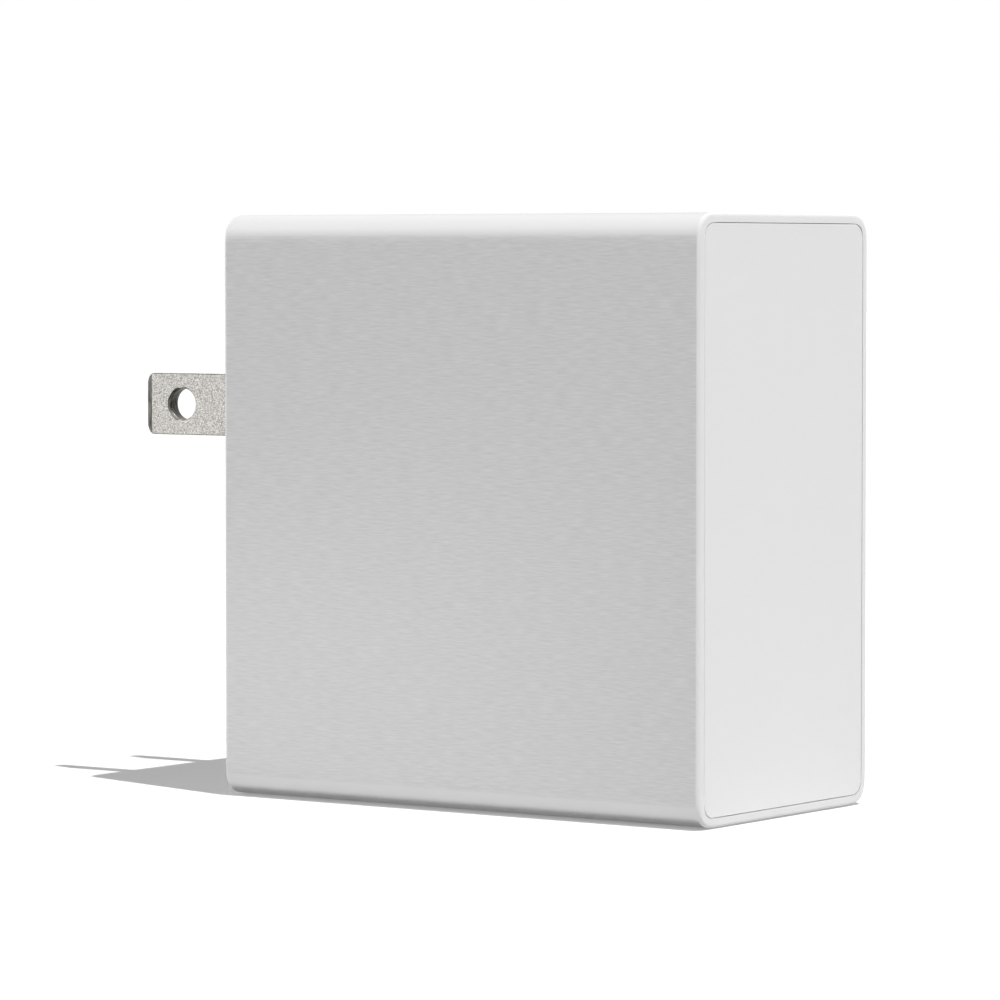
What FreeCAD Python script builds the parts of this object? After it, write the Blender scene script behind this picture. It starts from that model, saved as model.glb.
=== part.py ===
import FreeCAD, Part
import math
import os
from types import SimpleNamespace

import Sketcher

# Mains power adapter with one USB-C outlet: a brushed aluminium sleeve round a moulded
# inner case, closed at the front by a flush end cap, with two fixed blades at the rear.
# Millimetres. +Z is up, +X points at the end cap and the blades stand out along -X.
# The origin is the centre of the face that the adapter stands on.

Vector = FreeCAD.Vector
doc = FreeCAD.newDocument("power_adapter")

DRIVING_SIZES = {
    # Aluminium sleeve
    "case_length": 57.0,
    "case_thickness": 30.7,
    "case_height": 58.5,
    "corner_radius": 2.5,
    "sleeve_wall": 0.9,
    "sleeve_edge_radius": 0.35,
    # Moulded inner case
    "sleeve_gap": 0.1,
    "case_wall": 1.5,
    "rear_wall": 3.0,
    "rear_edge_radius": 0.2,
    "cavity_radius": 0.8,
    "guide_thickness": 1.0,
    "guide_overlap": 1.5,
    "guide_gap": 0.1,
    "boss_depth": 2.0,
    "boss_margin": 1.4,
    # End cap
    "cap_thickness": 2.0,
    "cap_gap": 0.06,
    "cap_edge_radius": 0.1,
    "skirt_depth": 3.0,
    "skirt_wall": 1.2,
    "skirt_gap": 0.1,
    "skirt_inner_radius": 0.4,
    "finger_reach": 5.0,
    # Blades and their contacts
    "blade_width": 6.35,
    "blade_thickness": 1.52,
    "blade_spacing": 12.7,
    "blade_drop": 19.4,
    "blade_reach": 16.9,
    "blade_tail": 4.0,
    "blade_corner_radius": 1.2,
    "blade_bevel_length": 0.9,
    "blade_bevel_depth": 0.4,
    "blade_hole": 3.18,
    "blade_hole_place": 12.0,
    "blade_hole_chamfer": 0.25,
    "contact_thickness": 0.5,
    "contact_width": 2.6,
    "contact_gap": 0.6,
    "contact_bend": 0.6,
    "contact_pin": 1.2,
    # Main board
    "board_thickness": 1.6,
    "board_standoff": 2.2,
    "board_end_gap": 0.2,
    "board_edge_gap": 0.25,
    "board_headroom": 2.8,
    "board_corner_radius": 1.0,
    "lead_tail": 1.0,
    "hole_gap": 0.15,
    "part_gap": 0.6,
    "board_margin": 1.0,
    "insulation_thickness": 0.4,
    "insulation_margin": 1.0,
    # Outlet and its board
    "shell_length": 9.1,
    "shell_width": 8.94,
    "shell_depth": 3.16,
    "shell_wall": 0.3,
    "shell_recess": 0.3,
    "shell_gap": 0.15,
    "shell_leg_width": 1.0,
    "shell_leg_spacing": 5.4,
    "insert_depth": 2.7,
    "tongue_width": 6.69,
    "tongue_thickness": 0.7,
    "tongue_length": 4.45,
    "terminal_pitch": 0.5,
    "terminal_width": 0.25,
    "terminal_thickness": 0.08,
    "terminal_setback": 0.4,
    "outlet_board_length": 15.0,
    "outlet_board_depth": 6.5,
    "outlet_board_thickness": 1.2,
    "tab_width": 3.0,
    "tab_spacing": 9.0,
    # Transformer
    "core_wall": 1.5,
    "core_depth": 14.0,
    "core_back": 3.7,
    "core_post": 8.0,
    "core_lift": 1.6,
    "bobbin_gap": 0.15,
    "bobbin_wall": 0.7,
    "bobbin_flange": 0.8,
    "rail_length": 17.0,
    "rail_depth": 3.0,
    "winding_diameter": 15.2,
    "winding_gap": 0.65,
    "tape_thickness": 0.25,
    "pin_diameter": 0.8,
    "pin_pitch": 6.0,
    "pin_depth": 2.0,
    "spreader_thickness": 0.8,
    "spreader_margin": 1.0,
    "spreader_flange": 3.2,
    "spreader_bend": 1.0,
    "pad_thickness": 2.0,
    "pad_inset": 1.0,
    # Through-hole components
    "bulk_diameter": 13.0,
    "bulk_height": 18.0,
    "bulk_pitch": 5.0,
    "output_diameter": 6.3,
    "output_height": 11.0,
    "output_pitch": 2.5,
    "can_bead_depth": 0.35,
    "can_bead_width": 1.2,
    "can_bead_height": 2.2,
    "can_edge_radius": 0.6,
    "can_top_recess": 0.2,
    "can_top_border": 0.8,
    "lead_diameter": 0.7,
    "film_width": 6.0,
    "film_length": 13.0,
    "film_height": 12.0,
    "film_pitch": 10.0,
    "film_edge_radius": 0.4,
    "fuse_diameter": 8.0,
    "fuse_height": 7.8,
    "fuse_pitch": 5.08,
    "fuse_edge_radius": 0.5,
    "disc_diameter": 7.0,
    "disc_thickness": 3.6,
    "disc_pitch": 5.0,
    "disc_lift": 1.2,
    "disc_edge_radius": 1.1,
    "bridge_length": 14.0,
    "bridge_depth": 3.5,
    "bridge_height": 11.0,
    "bridge_lift": 1.5,
    "bridge_pitch": 3.8,
    "bridge_chamfer": 2.0,
    # Choke
    "ring_outer": 13.0,
    "ring_inner": 7.0,
    "ring_width": 5.0,
    "ring_bevel": 0.6,
    "ring_seat": 1.2,
    "coil_thickness": 1.0,
    "coil_angle": 80.0,
    "choke_base_length": 15.0,
    "choke_base_depth": 8.0,
    "choke_base_height": 3.0,
    "choke_pitch": 10.0,
    "choke_row": 5.0,
    # Power transistor and heat sink
    "sink_length": 18.0,
    "sink_height": 17.0,
    "sink_thickness": 1.5,
    "sink_flange": 4.5,
    "sink_foot": 2.0,
    "sink_foot_spacing": 13.0,
    "transistor_length": 10.0,
    "transistor_depth": 4.5,
    "transistor_height": 11.5,
    "transistor_lift": 3.5,
    "transistor_hole": 3.2,
    "transistor_hole_height": 9.0,
    "transistor_pitch": 2.54,
    "transistor_edge": 0.5,
    "screw_diameter": 3.0,
    "screw_head_diameter": 5.5,
    "screw_head_height": 2.0,
    "screw_drive_width": 0.8,
    "screw_drive_depth": 1.0,
    # Flat chips on the solder side and on the outlet board
    "chip_length": 4.9,
    "chip_width": 3.9,
    "chip_height": 1.5,
    "leg_reach": 1.0,
    "leg_width": 0.4,
    "leg_thickness": 0.2,
    "leg_pitch": 1.27,
    "coupler_length": 3.6,
    "coupler_width": 4.4,
    "coupler_leg_pitch": 2.54,
    "manager_side": 4.0,
    "manager_height": 0.9,
    "dimple_diameter": 0.6,
    "dimple_depth": 0.1,
}


# Counts of legs and terminals along one side
CHIP_LEG_COUNT = 4
COUPLER_LEG_COUNT = 2
TERMINAL_COUNT = 12

# Two places closer together than this are the same place
SAME_PLACE = 1e-4


class Length:
    """A length in millimetres, with the sheet expression that gives it."""

    def __init__(self, value, text):
        self.value = float(value)
        self.text = text

    def __add__(self, other):
        other = length_of(other)
        return Length(self.value + other.value, f"({self.text} + {other.text})")

    def __sub__(self, other):
        other = length_of(other)
        return Length(self.value - other.value, f"({self.text} - {other.text})")

    def __mul__(self, factor):
        return Length(self.value * factor, f"({self.text} * {factor})")

    def __truediv__(self, divisor):
        return Length(self.value / divisor, f"({self.text} / {divisor})")

    def __neg__(self):
        return self * -1


def length_of(value):
    """Give a plain number the form of a length."""
    if isinstance(value, Length):
        return value
    return Length(value, str(value))


def fill_sheet():
    """Write the driving sizes into the sheet and give them back as lengths."""
    sheet = doc.addObject("Spreadsheet::Sheet", "sizes")
    lengths = {}
    for row, (name, value) in enumerate(DRIVING_SIZES.items(), start=1):
        sheet.set(f"A{row}", name)
        sheet.set(f"B{row}", str(value))
        sheet.setAlias(f"B{row}", name)
        lengths[name] = Length(value, f"sizes.{name}")
    doc.recompute()
    return SimpleNamespace(**lengths)


size = fill_sheet()
sub_parts = []


def bind(item, path, value):
    """Tie one property of an object to the sheet."""
    item.setExpression(path, length_of(value).text)


def new_body(label):
    """Start a sub-part that is made from sketches and features."""
    body = doc.addObject("PartDesign::Body", label)
    body.Label = label
    sub_parts.append(body)
    return body


def new_sketch(body, role, lift=0):
    """Add a sketch on an origin plane of the body, lifted along the plane's normal."""
    sketch = body.newObject("Sketcher::SketchObject", "sketch")
    plane = next(item for item in body.Origin.OriginFeatures if item.Role == role)
    sketch.AttachmentSupport = [(plane, "")]
    sketch.MapMode = "FlatFace"
    bind(sketch, "AttachmentOffset.Base.z", lift)
    return sketch


def fix(sketch, kind, *terms):
    """Add a dimension to a sketch; the last term is its length."""
    value = length_of(terms[-1])
    index = sketch.addConstraint(Sketcher.Constraint(kind, *terms[:-1], value.value))
    name = f"size_{index}"
    sketch.renameConstraint(index, name)
    bind(sketch, f"Constraints.{name}", value)


def hold_point(sketch, curve, point, x, y):
    """Hold a point of a curve at its place, measured from the sketch's origin."""
    fix(sketch, "DistanceX", -1, 1, curve, point, x)
    fix(sketch, "DistanceY", -1, 1, curve, point, y)


def draw_outline(sketch, corners):
    """Draw a closed outline of straight lines through its corners."""
    first = sketch.GeometryCount
    count = len(corners)
    places = [(length_of(x), length_of(y)) for x, y in corners]
    points = [Vector(x.value, y.value) for x, y in places]
    for index in range(count):
        sketch.addGeometry(Part.LineSegment(points[index], points[(index + 1) % count]))
    for index in range(count):
        after = first + (index + 1) % count
        sketch.addConstraint(Sketcher.Constraint("Coincident", first + index, 2, after, 1))
    for index, (x, y) in enumerate(places):
        hold_point(sketch, first + index, 1, x, y)


def draw_box(sketch, left, bottom, right, top):
    """Draw an upright rectangle between two corners."""
    draw_outline(sketch, [(left, bottom), (right, bottom), (right, top), (left, top)])


def draw_centred_box(sketch, width, height, x=0, y=0):
    """Draw an upright rectangle about its centre."""
    half_width = width / 2
    half_height = height / 2
    x = length_of(x)
    y = length_of(y)
    draw_box(sketch, x - half_width, y - half_height, x + half_width, y + half_height)


def draw_circle(sketch, diameter, x=0, y=0):
    """Draw a circle of a given diameter."""
    x = length_of(x)
    y = length_of(y)
    circle = Part.Circle(Vector(x.value, y.value), Vector(0, 0, 1), diameter.value / 2)
    curve = sketch.addGeometry(circle)
    hold_point(sketch, curve, 3, x, y)
    fix(sketch, "Diameter", curve, diameter)


def draw_arc(sketch, x, y, radius, start, end):
    """Draw an arc between two angles, in degrees, and give its number."""
    circle = Part.Circle(Vector(x, y), Vector(0, 0, 1), radius)
    return sketch.addGeometry(Part.ArcOfCircle(circle, math.radians(start), math.radians(end)))


def join_smoothly(sketch, first, count):
    """Join each curve of a closed chain to the next one without a corner."""
    for index in range(count):
        after = first + (index + 1) % count
        sketch.addConstraint(Sketcher.Constraint("Tangent", first + index, 2, after, 1))


def draw_rounded_box(sketch, width, height, radius, y=0):
    """Draw an upright rectangle with round corners, centred on the sketch's vertical axis."""
    y = length_of(y)
    first = sketch.GeometryCount
    corner = radius.value
    right = width.value / 2
    bottom = y.value - height.value / 2
    top = y.value + height.value / 2
    inner = right - corner
    sketch.addGeometry(Part.LineSegment(Vector(-inner, bottom), Vector(inner, bottom)))
    draw_arc(sketch, inner, bottom + corner, corner, -90, 0)
    sketch.addGeometry(Part.LineSegment(Vector(right, bottom + corner), Vector(right, top - corner)))
    draw_arc(sketch, inner, top - corner, corner, 0, 90)
    sketch.addGeometry(Part.LineSegment(Vector(inner, top), Vector(-inner, top)))
    draw_arc(sketch, -inner, top - corner, corner, 90, 180)
    sketch.addGeometry(Part.LineSegment(Vector(-right, top - corner), Vector(-right, bottom + corner)))
    draw_arc(sketch, -inner, bottom + corner, corner, 180, 270)
    join_smoothly(sketch, first, 8)
    for line in (first, first + 4):
        sketch.addConstraint(Sketcher.Constraint("Horizontal", line))
    for line in (first + 2, first + 6):
        sketch.addConstraint(Sketcher.Constraint("Vertical", line))
    for arc in (first + 3, first + 5, first + 7):
        sketch.addConstraint(Sketcher.Constraint("Equal", first + 1, arc))
    fix(sketch, "DistanceX", first + 6, 1, -1, 1, width / 2)
    fix(sketch, "DistanceY", -1, 1, first, 1, y - height / 2)
    fix(sketch, "DistanceX", first + 6, 1, first + 2, 1, width)
    fix(sketch, "DistanceY", first, 1, first + 4, 1, height)
    fix(sketch, "Radius", first + 1, radius)


def draw_stadium(sketch, width, depth):
    """Draw a slot with round ends, lying along the horizontal axis about the origin."""
    first = sketch.GeometryCount
    radius = depth.value / 2
    reach = width.value / 2 - radius
    sketch.addGeometry(Part.LineSegment(Vector(-reach, -radius), Vector(reach, -radius)))
    right = draw_arc(sketch, reach, 0, radius, -90, 90)
    sketch.addGeometry(Part.LineSegment(Vector(reach, radius), Vector(-reach, radius)))
    left = draw_arc(sketch, -reach, 0, radius, 90, 270)
    join_smoothly(sketch, first, 4)
    sketch.addConstraint(Sketcher.Constraint("Horizontal", first))
    sketch.addConstraint(Sketcher.Constraint("Equal", right, left))
    hold_point(sketch, left, 3, (depth - width) / 2, 0)
    fix(sketch, "DistanceX", left, 3, right, 3, width - depth)
    fix(sketch, "Radius", right, depth / 2)


def pad(body, sketch, length, reverse=False):
    """Raise a sketch into solid along its normal, or against it."""
    feature = body.newObject("PartDesign::Pad", "pad")
    feature.Profile = sketch
    feature.Reversed = reverse
    bind(feature, "Length", length)
    return feature


def expect_less(body, before):
    """Stop if a cut took nothing away."""
    doc.recompute()
    if body.Shape.Volume >= before:
        raise ValueError(f"a cut in {body.Label} took nothing away")


def pocket(body, sketch, length, along_normal=False):
    """Cut a sketch into the solid against its normal, or along it."""
    doc.recompute()
    before = body.Shape.Volume
    feature = body.newObject("PartDesign::Pocket", "pocket")
    feature.Profile = sketch
    feature.Reversed = along_normal
    bind(feature, "Length", length)
    expect_less(body, before)
    return feature


def revolve(body, sketch, angle=360.0):
    """Turn a sketch about its vertical axis, equally to both sides of its plane."""
    feature = body.newObject("PartDesign::Revolution", "revolution")
    feature.Profile = sketch
    feature.ReferenceAxis = (sketch, ["V_Axis"])
    feature.Midplane = True
    bind(feature, "Angle", angle)
    return feature


def groove(body, sketch):
    """Cut a full turn of a sketch about its vertical axis."""
    doc.recompute()
    before = body.Shape.Volume
    feature = body.newObject("PartDesign::Groove", "groove")
    feature.Profile = sketch
    feature.ReferenceAxis = (sketch, ["V_Axis"])
    expect_less(body, before)
    return feature


def near(value, target):
    """Say whether a coordinate lies at a place."""
    return abs(value - length_of(target).value) < SAME_PLACE


def is_line_at(box, x=None, y=None, z=None):
    """Say whether an edge's box is a straight line along one axis at the given places."""
    spans = ((box.XMin, box.XMax, x), (box.YMin, box.YMax, y), (box.ZMin, box.ZMax, z))
    return all(near(low, spot) and near(high, spot) for low, high, spot in spans if spot is not None)


def pick_edges(body, test):
    """Give the names of the body's edges whose bounding box passes a test."""
    doc.recompute()
    edges = body.Tip.Shape.Edges
    names = [f"Edge{number}" for number, edge in enumerate(edges, start=1) if test(edge.BoundBox)]
    if not names:
        raise ValueError(f"no edge of {body.Label} fits")
    return names


def round_edges(body, radius, test):
    """Round the edges of a body that pass a test."""
    names = pick_edges(body, test)
    base = body.Tip
    feature = body.newObject("PartDesign::Fillet", "fillet")
    feature.Base = (base, names)
    bind(feature, "Radius", radius)
    return feature


def bevel_edges(body, length, test, depth=None):
    """Bevel the edges of a body that pass a test, evenly or by two distances."""
    names = pick_edges(body, test)
    base = body.Tip
    feature = body.newObject("PartDesign::Chamfer", "chamfer")
    feature.Base = (base, names)
    bind(feature, "Size", length)
    if depth is not None:
        feature.ChamferType = "Two distances"
        bind(feature, "Size2", depth)
    return feature


def place(item, x=0, y=0, z=0, rotation=FreeCAD.Rotation()):
    """Put a sub-part at its place in the adapter."""
    item.Placement = FreeCAD.Placement(Vector(), rotation)
    bind(item, "Placement.Base.x", x)
    bind(item, "Placement.Base.y", y)
    bind(item, "Placement.Base.z", z)


# Planes that the pieces share, from the outside inwards
half_length = size.case_length / 2
half_thickness = size.case_thickness / 2
middle_height = size.case_height / 2
case_inset = size.sleeve_wall + size.sleeve_gap
cavity_inset = case_inset + size.case_wall
floor = cavity_inset
ceiling = size.case_height - cavity_inset
side = half_thickness - cavity_inset
rear_inside = size.rear_wall - half_length
boss_face = rear_inside + size.boss_depth
cap_inside = half_length - size.cap_thickness
skirt_end = cap_inside - size.skirt_depth
blade_height = size.case_height - size.blade_drop

# The board stands upright on the +Y side and its components point to -Y
board_back = side - size.board_standoff
board_face = board_back - size.board_thickness
board_left = rear_inside + size.board_end_gap
board_right = skirt_end - size.board_end_gap
board_bottom = floor + size.board_edge_gap
board_top = ceiling - size.board_headroom
lead_depth = size.board_thickness + size.lead_tail
UPRIGHT = FreeCAD.Rotation(Vector(1, 0, 0), 90)

# The transformer's core takes the winding inside it and the case's depth above the board
wall_reach = board_face + side
spreader_under = wall_reach - size.spreader_thickness
core_top = spreader_under - size.pad_thickness
core_half_height = (core_top - size.core_lift) / 2
core_window = size.winding_diameter + (size.tape_thickness + size.winding_gap) * 2
core_length = core_window + size.core_wall * 2

# Rows of components, worked out from the board's edges and from each other
row_top = board_top - size.guide_overlap - size.part_gap
row_bottom = board_bottom + size.guide_overlap + size.part_gap
row_right = board_right - size.board_margin
row_left = board_left + size.board_margin
bulk_height_place = row_top - size.bulk_diameter / 2
bulk_b_place = row_right - size.bulk_diameter / 2
bulk_a_place = bulk_b_place - size.bulk_diameter - size.part_gap
film_place = bulk_a_place - size.bulk_diameter / 2 - size.part_gap - size.film_width / 2
film_height_place = row_top - size.film_length / 2
fuse_place = film_place - size.film_width / 2 - size.part_gap - size.fuse_diameter / 2
fuse_height_place = row_top - size.fuse_diameter / 2
output_height_place = row_bottom + size.output_diameter / 2
output_b_place = row_right - size.output_diameter / 2
output_a_place = output_b_place - size.output_diameter - size.part_gap
rail_inside = size.core_depth / 2 + size.bobbin_gap
rail_outside = rail_inside + size.rail_depth
transformer_place = row_right - core_length / 2
transformer_height_place = row_bottom + size.output_diameter + size.part_gap + rail_outside
outlet_board_under = size.shell_recess + size.shell_length
outlet_board_upper = outlet_board_under + size.outlet_board_thickness
deck = outlet_board_upper + size.manager_height + size.part_gap
column_place = row_left + size.sink_length / 2
transistor_height_place = deck + size.sink_thickness + size.transistor_depth / 2
screw_front = deck + size.sink_thickness + size.transistor_depth + size.screw_head_height
bridge_height_place = screw_front + size.part_gap + size.bridge_depth / 2
choke_height_place = (
    bridge_height_place + size.bridge_depth / 2 + size.part_gap + size.choke_base_depth / 2
)
thermistor_height_place = (
    choke_height_place + size.choke_base_depth / 2 + size.part_gap + size.disc_thickness / 2
)
contact_place = boss_face + size.blade_tail + size.contact_bend + size.contact_gap
beside_contact = contact_place + size.contact_thickness + size.part_gap
choke_place = beside_contact + size.choke_base_length / 2
thermistor_place = beside_contact + size.disc_diameter / 2
safety_place = row_left + size.disc_diameter / 2
safety_height_place = row_bottom + size.disc_thickness / 2
middle_place = (column_place + size.sink_length / 2 + transformer_place - core_length / 2) / 2

# Holes and slots that the board needs, noted as the components are made
board_holes = []
board_slots = []


def stand_on_board(item, x, z):
    """Put a component upright against the face of the main board."""
    place(item, x, board_face, z, UPRIGHT)


def add_leads(body, spots, x, z, diameter, start=0):
    """Run round leads from the component through the board, and note their holes."""
    sketch = new_sketch(body, "XY_Plane", start)
    for across, up in spots:
        draw_circle(sketch, diameter, across, up)
        board_holes.append((length_of(x) + across, length_of(z) + up, diameter))
    pad(body, sketch, length_of(start) + lead_depth, reverse=True)


def make_sleeve():
    """Extruded aluminium tube with rounded long edges and the outlet's slot in its underside."""
    body = new_body("sleeve")
    wall = new_sketch(body, "YZ_Plane", -half_length)
    draw_rounded_box(wall, size.case_thickness, size.case_height, size.corner_radius, middle_height)
    inner_thickness = size.case_thickness - size.sleeve_wall * 2
    inner_height = size.case_height - size.sleeve_wall * 2
    inner_radius = size.corner_radius - size.sleeve_wall
    draw_rounded_box(wall, inner_thickness, inner_height, inner_radius, middle_height)
    pad(body, wall, size.case_length)
    slot = new_sketch(body, "XY_Plane")
    draw_outlet_slot(slot)
    pocket(body, slot, floor, along_normal=True)

    def outer_end_edge(box):
        at_end = near(box.XMin, -half_length) or near(box.XMax, half_length)
        outside = (
            near(box.YMin, -half_thickness)
            or near(box.YMax, half_thickness)
            or near(box.ZMin, 0)
            or near(box.ZMax, size.case_height)
        )
        return at_end and near(box.XLength, 0) and outside

    round_edges(body, size.sleeve_edge_radius, outer_end_edge)
    place(body)


def draw_outlet_slot(sketch):
    """Draw the slot that the outlet's shell passes through."""
    draw_stadium(sketch, size.shell_width + size.shell_gap * 2, size.shell_depth + size.shell_gap * 2)


def make_inner_case():
    """Moulded tub that slides into the sleeve, holds the blades and guides the board."""
    body = new_body("inner_case")
    outside = new_sketch(body, "YZ_Plane", -half_length)
    outer_thickness = size.case_thickness - case_inset * 2
    outer_height = size.case_height - case_inset * 2
    outer_radius = size.corner_radius - case_inset
    draw_rounded_box(outside, outer_thickness, outer_height, outer_radius, middle_height)
    pad(body, outside, cap_inside + half_length)
    round_edges(body, size.rear_edge_radius, lambda box: near(box.XMax, -half_length))

    cavity = new_sketch(body, "YZ_Plane", cap_inside)
    inner_thickness = side * 2
    inner_height = ceiling - floor
    draw_rounded_box(cavity, inner_thickness, inner_height, size.cavity_radius, middle_height)
    pocket(body, cavity, cap_inside - rear_inside)

    guides = new_sketch(body, "YZ_Plane", rear_inside)
    for inner_edge, way in ((board_face - size.guide_gap, -1), (board_back + size.guide_gap, 1)):
        outer_edge = inner_edge + size.guide_thickness * way
        left = inner_edge if way > 0 else outer_edge
        right = outer_edge if way > 0 else inner_edge
        draw_box(guides, left, floor, right, board_bottom + size.guide_overlap)
        draw_box(guides, left, board_top - size.guide_overlap, right, ceiling)
    pad(body, guides, skirt_end - size.board_end_gap - rear_inside)

    boss = new_sketch(body, "YZ_Plane", rear_inside)
    boss_width = size.blade_spacing + size.blade_thickness + size.boss_margin * 2
    draw_centred_box(boss, boss_width, size.blade_width + size.boss_margin * 2, 0, blade_height)
    pad(body, boss, size.boss_depth)

    slots = new_sketch(body, "YZ_Plane", -half_length)
    for way in (-1, 1):
        across = size.blade_spacing * (way / 2)
        draw_centred_box(slots, size.blade_thickness, size.blade_width, across, blade_height)
    pocket(body, slots, boss_face + half_length, along_normal=True)

    outlet = new_sketch(body, "XY_Plane")
    draw_outlet_slot(outlet)
    pocket(body, outlet, floor + size.guide_overlap, along_normal=True)
    place(body)


def make_end_cap():
    """Flush front plate with a skirt inside the case and a finger that keeps the board down."""
    body = new_body("end_cap")
    plate = new_sketch(body, "YZ_Plane", cap_inside)
    inset = size.sleeve_wall + size.cap_gap
    plate_thickness = size.case_thickness - inset * 2
    plate_height = size.case_height - inset * 2
    plate_radius = size.corner_radius - inset
    draw_rounded_box(plate, plate_thickness, plate_height, plate_radius, middle_height)
    pad(body, plate, size.cap_thickness)
    round_edges(body, size.cap_edge_radius, lambda box: near(box.XMin, half_length))

    skirt = new_sketch(body, "YZ_Plane", cap_inside)
    skirt_thickness = (side - size.skirt_gap) * 2
    skirt_height = ceiling - floor - size.skirt_gap * 2
    draw_rounded_box(skirt, skirt_thickness, skirt_height, size.cavity_radius, middle_height)
    inner_thickness = skirt_thickness - size.skirt_wall * 2
    inner_height = skirt_height - size.skirt_wall * 2
    inner_radius = size.skirt_inner_radius
    draw_rounded_box(skirt, inner_thickness, inner_height, inner_radius, middle_height)
    pad(body, skirt, size.skirt_depth, reverse=True)

    finger = new_sketch(body, "YZ_Plane", cap_inside)
    finger_under = board_top + size.board_edge_gap
    finger_upper = ceiling - size.skirt_gap
    draw_box(finger, board_face, finger_under, board_back, finger_upper)
    pad(body, finger, size.skirt_depth + size.finger_reach, reverse=True)
    place(body)


def make_blades():
    """Two plated brass blades, moulded into the rear wall, each with a hole and a bevelled tip."""
    tip = -half_length - size.blade_reach
    end = boss_face + size.blade_tail
    half_width = size.blade_width / 2
    hole_place = -half_length - size.blade_hole_place
    flat = size.blade_thickness / 2
    for label, way in (("line_blade", -1), ("neutral_blade", 1)):
        body = new_body(label)
        outline = new_sketch(body, "XZ_Plane", -flat)
        draw_box(outline, tip, -half_width, end, half_width)
        draw_circle(outline, size.blade_hole, hole_place)
        pad(body, outline, size.blade_thickness)
        for corner in (-half_width, half_width):
            round_edges(
                body,
                size.blade_corner_radius,
                lambda box: is_line_at(box, x=tip, z=corner),
            )
        bevels = new_sketch(body, "XY_Plane", -half_width)
        for side_way in (-1, 1):
            face = flat * side_way
            edge = (flat - size.blade_bevel_depth) * side_way
            draw_outline(bevels, [(tip, face), (tip, edge), (tip + size.blade_bevel_length, face)])
        pocket(body, bevels, size.blade_width, along_normal=True)
        bevel_edges(
            body,
            size.blade_hole_chamfer,
            lambda box: near(box.XLength, size.blade_hole) and near(box.YLength, 0),
        )
        place(body, 0, size.blade_spacing * (way / 2), blade_height)


def make_contacts():
    """Bent brass strips that bring the current from the blades' tails to the board.

    Each leaf lies on the side of its blade that faces away from the board.
    """
    leaf_end = boss_face + size.contact_gap - contact_place
    strip_shift = (size.contact_width + size.contact_gap) / 2
    for label, way in (("line_contact", -1), ("neutral_contact", 1)):
        body = new_body(label)
        blade_side = (size.blade_spacing * way - size.blade_thickness) / 2
        under = board_face - blade_side
        height = under + size.contact_thickness
        strip = new_sketch(body, "XZ_Plane", -size.contact_width / 2)
        corners = [
            (0, 0),
            (size.contact_thickness, 0),
            (size.contact_thickness, height),
            (leaf_end, height),
            (leaf_end, under),
            (0, under),
        ]
        draw_outline(strip, corners)
        pad(body, strip, size.contact_width)
        round_edges(body, size.contact_bend, lambda box: is_line_at(box, x=0, z=under))
        outer_bend = size.contact_bend + size.contact_thickness
        round_edges(body, outer_bend, lambda box: is_line_at(box, x=size.contact_thickness, z=height))
        pin = new_sketch(body, "XY_Plane")
        draw_centred_box(pin, size.contact_thickness, size.contact_pin, size.contact_thickness / 2)
        pad(body, pin, lead_depth, reverse=True)
        height_place = blade_height + strip_shift * way
        stand_on_board(body, contact_place, height_place)
        slot_place = contact_place + size.contact_thickness / 2
        board_slots.append((slot_place, height_place, size.contact_thickness, size.contact_pin))


def make_can(label, x, z, diameter, height, pitch):
    """Standing capacitor: a crimped aluminium can with a film sleeve and two leads."""
    body = new_body(label)
    base = new_sketch(body, "XY_Plane")
    draw_circle(base, diameter)
    pad(body, base, height)
    bead = new_sketch(body, "XZ_Plane")
    radius = diameter / 2
    middle = size.can_bead_height
    half_width = size.can_bead_width / 2
    corners = [
        (radius, middle - half_width),
        (radius, middle + half_width),
        (radius - size.can_bead_depth, middle),
    ]
    draw_outline(bead, corners)
    groove(body, bead)
    round_edges(body, size.can_edge_radius, lambda box: near(box.ZMin, height))
    top = new_sketch(body, "XY_Plane", height)
    draw_circle(top, diameter - (size.can_edge_radius + size.can_top_border) * 2)
    pocket(body, top, size.can_top_recess)
    spots = [(pitch / -2, 0), (pitch / 2, 0)]
    add_leads(body, spots, x, z, size.lead_diameter)
    stand_on_board(body, x, z)


def make_film_capacitor():
    """Boxed film capacitor across the mains."""
    body = new_body("film_capacitor")
    base = new_sketch(body, "XY_Plane")
    draw_centred_box(base, size.film_width, size.film_length)
    pad(body, base, size.film_height)
    round_edges(body, size.film_edge_radius, lambda box: not near(box.ZMax, 0))
    spots = [(0, size.film_pitch / -2), (0, size.film_pitch / 2)]
    add_leads(body, spots, film_place, film_height_place, size.lead_diameter)
    stand_on_board(body, film_place, film_height_place)


def make_fuse():
    """Round radial fuse in a moulded cap."""
    body = new_body("fuse")
    base = new_sketch(body, "XY_Plane")
    draw_circle(base, size.fuse_diameter)
    pad(body, base, size.fuse_height)
    round_edges(body, size.fuse_edge_radius, lambda box: near(box.ZMin, size.fuse_height))
    spots = [(size.fuse_pitch / -2, 0), (size.fuse_pitch / 2, 0)]
    add_leads(body, spots, fuse_place, fuse_height_place, size.lead_diameter)
    stand_on_board(body, fuse_place, fuse_height_place)


def make_disc(label, x, z):
    """Dipped ceramic disc that stands on its two leads, its flat sides up and down the board."""
    body = new_body(label)
    centre = size.disc_lift + size.disc_diameter / 2
    disc = new_sketch(body, "XZ_Plane", size.disc_thickness / -2)
    draw_circle(disc, size.disc_diameter, 0, centre)
    pad(body, disc, size.disc_thickness)
    round_edges(body, size.disc_edge_radius, lambda box: near(box.XLength, size.disc_diameter))
    spots = [(size.disc_pitch / -2, 0), (size.disc_pitch / 2, 0)]
    add_leads(body, spots, x, z, size.lead_diameter, centre)
    stand_on_board(body, x, z)


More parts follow.
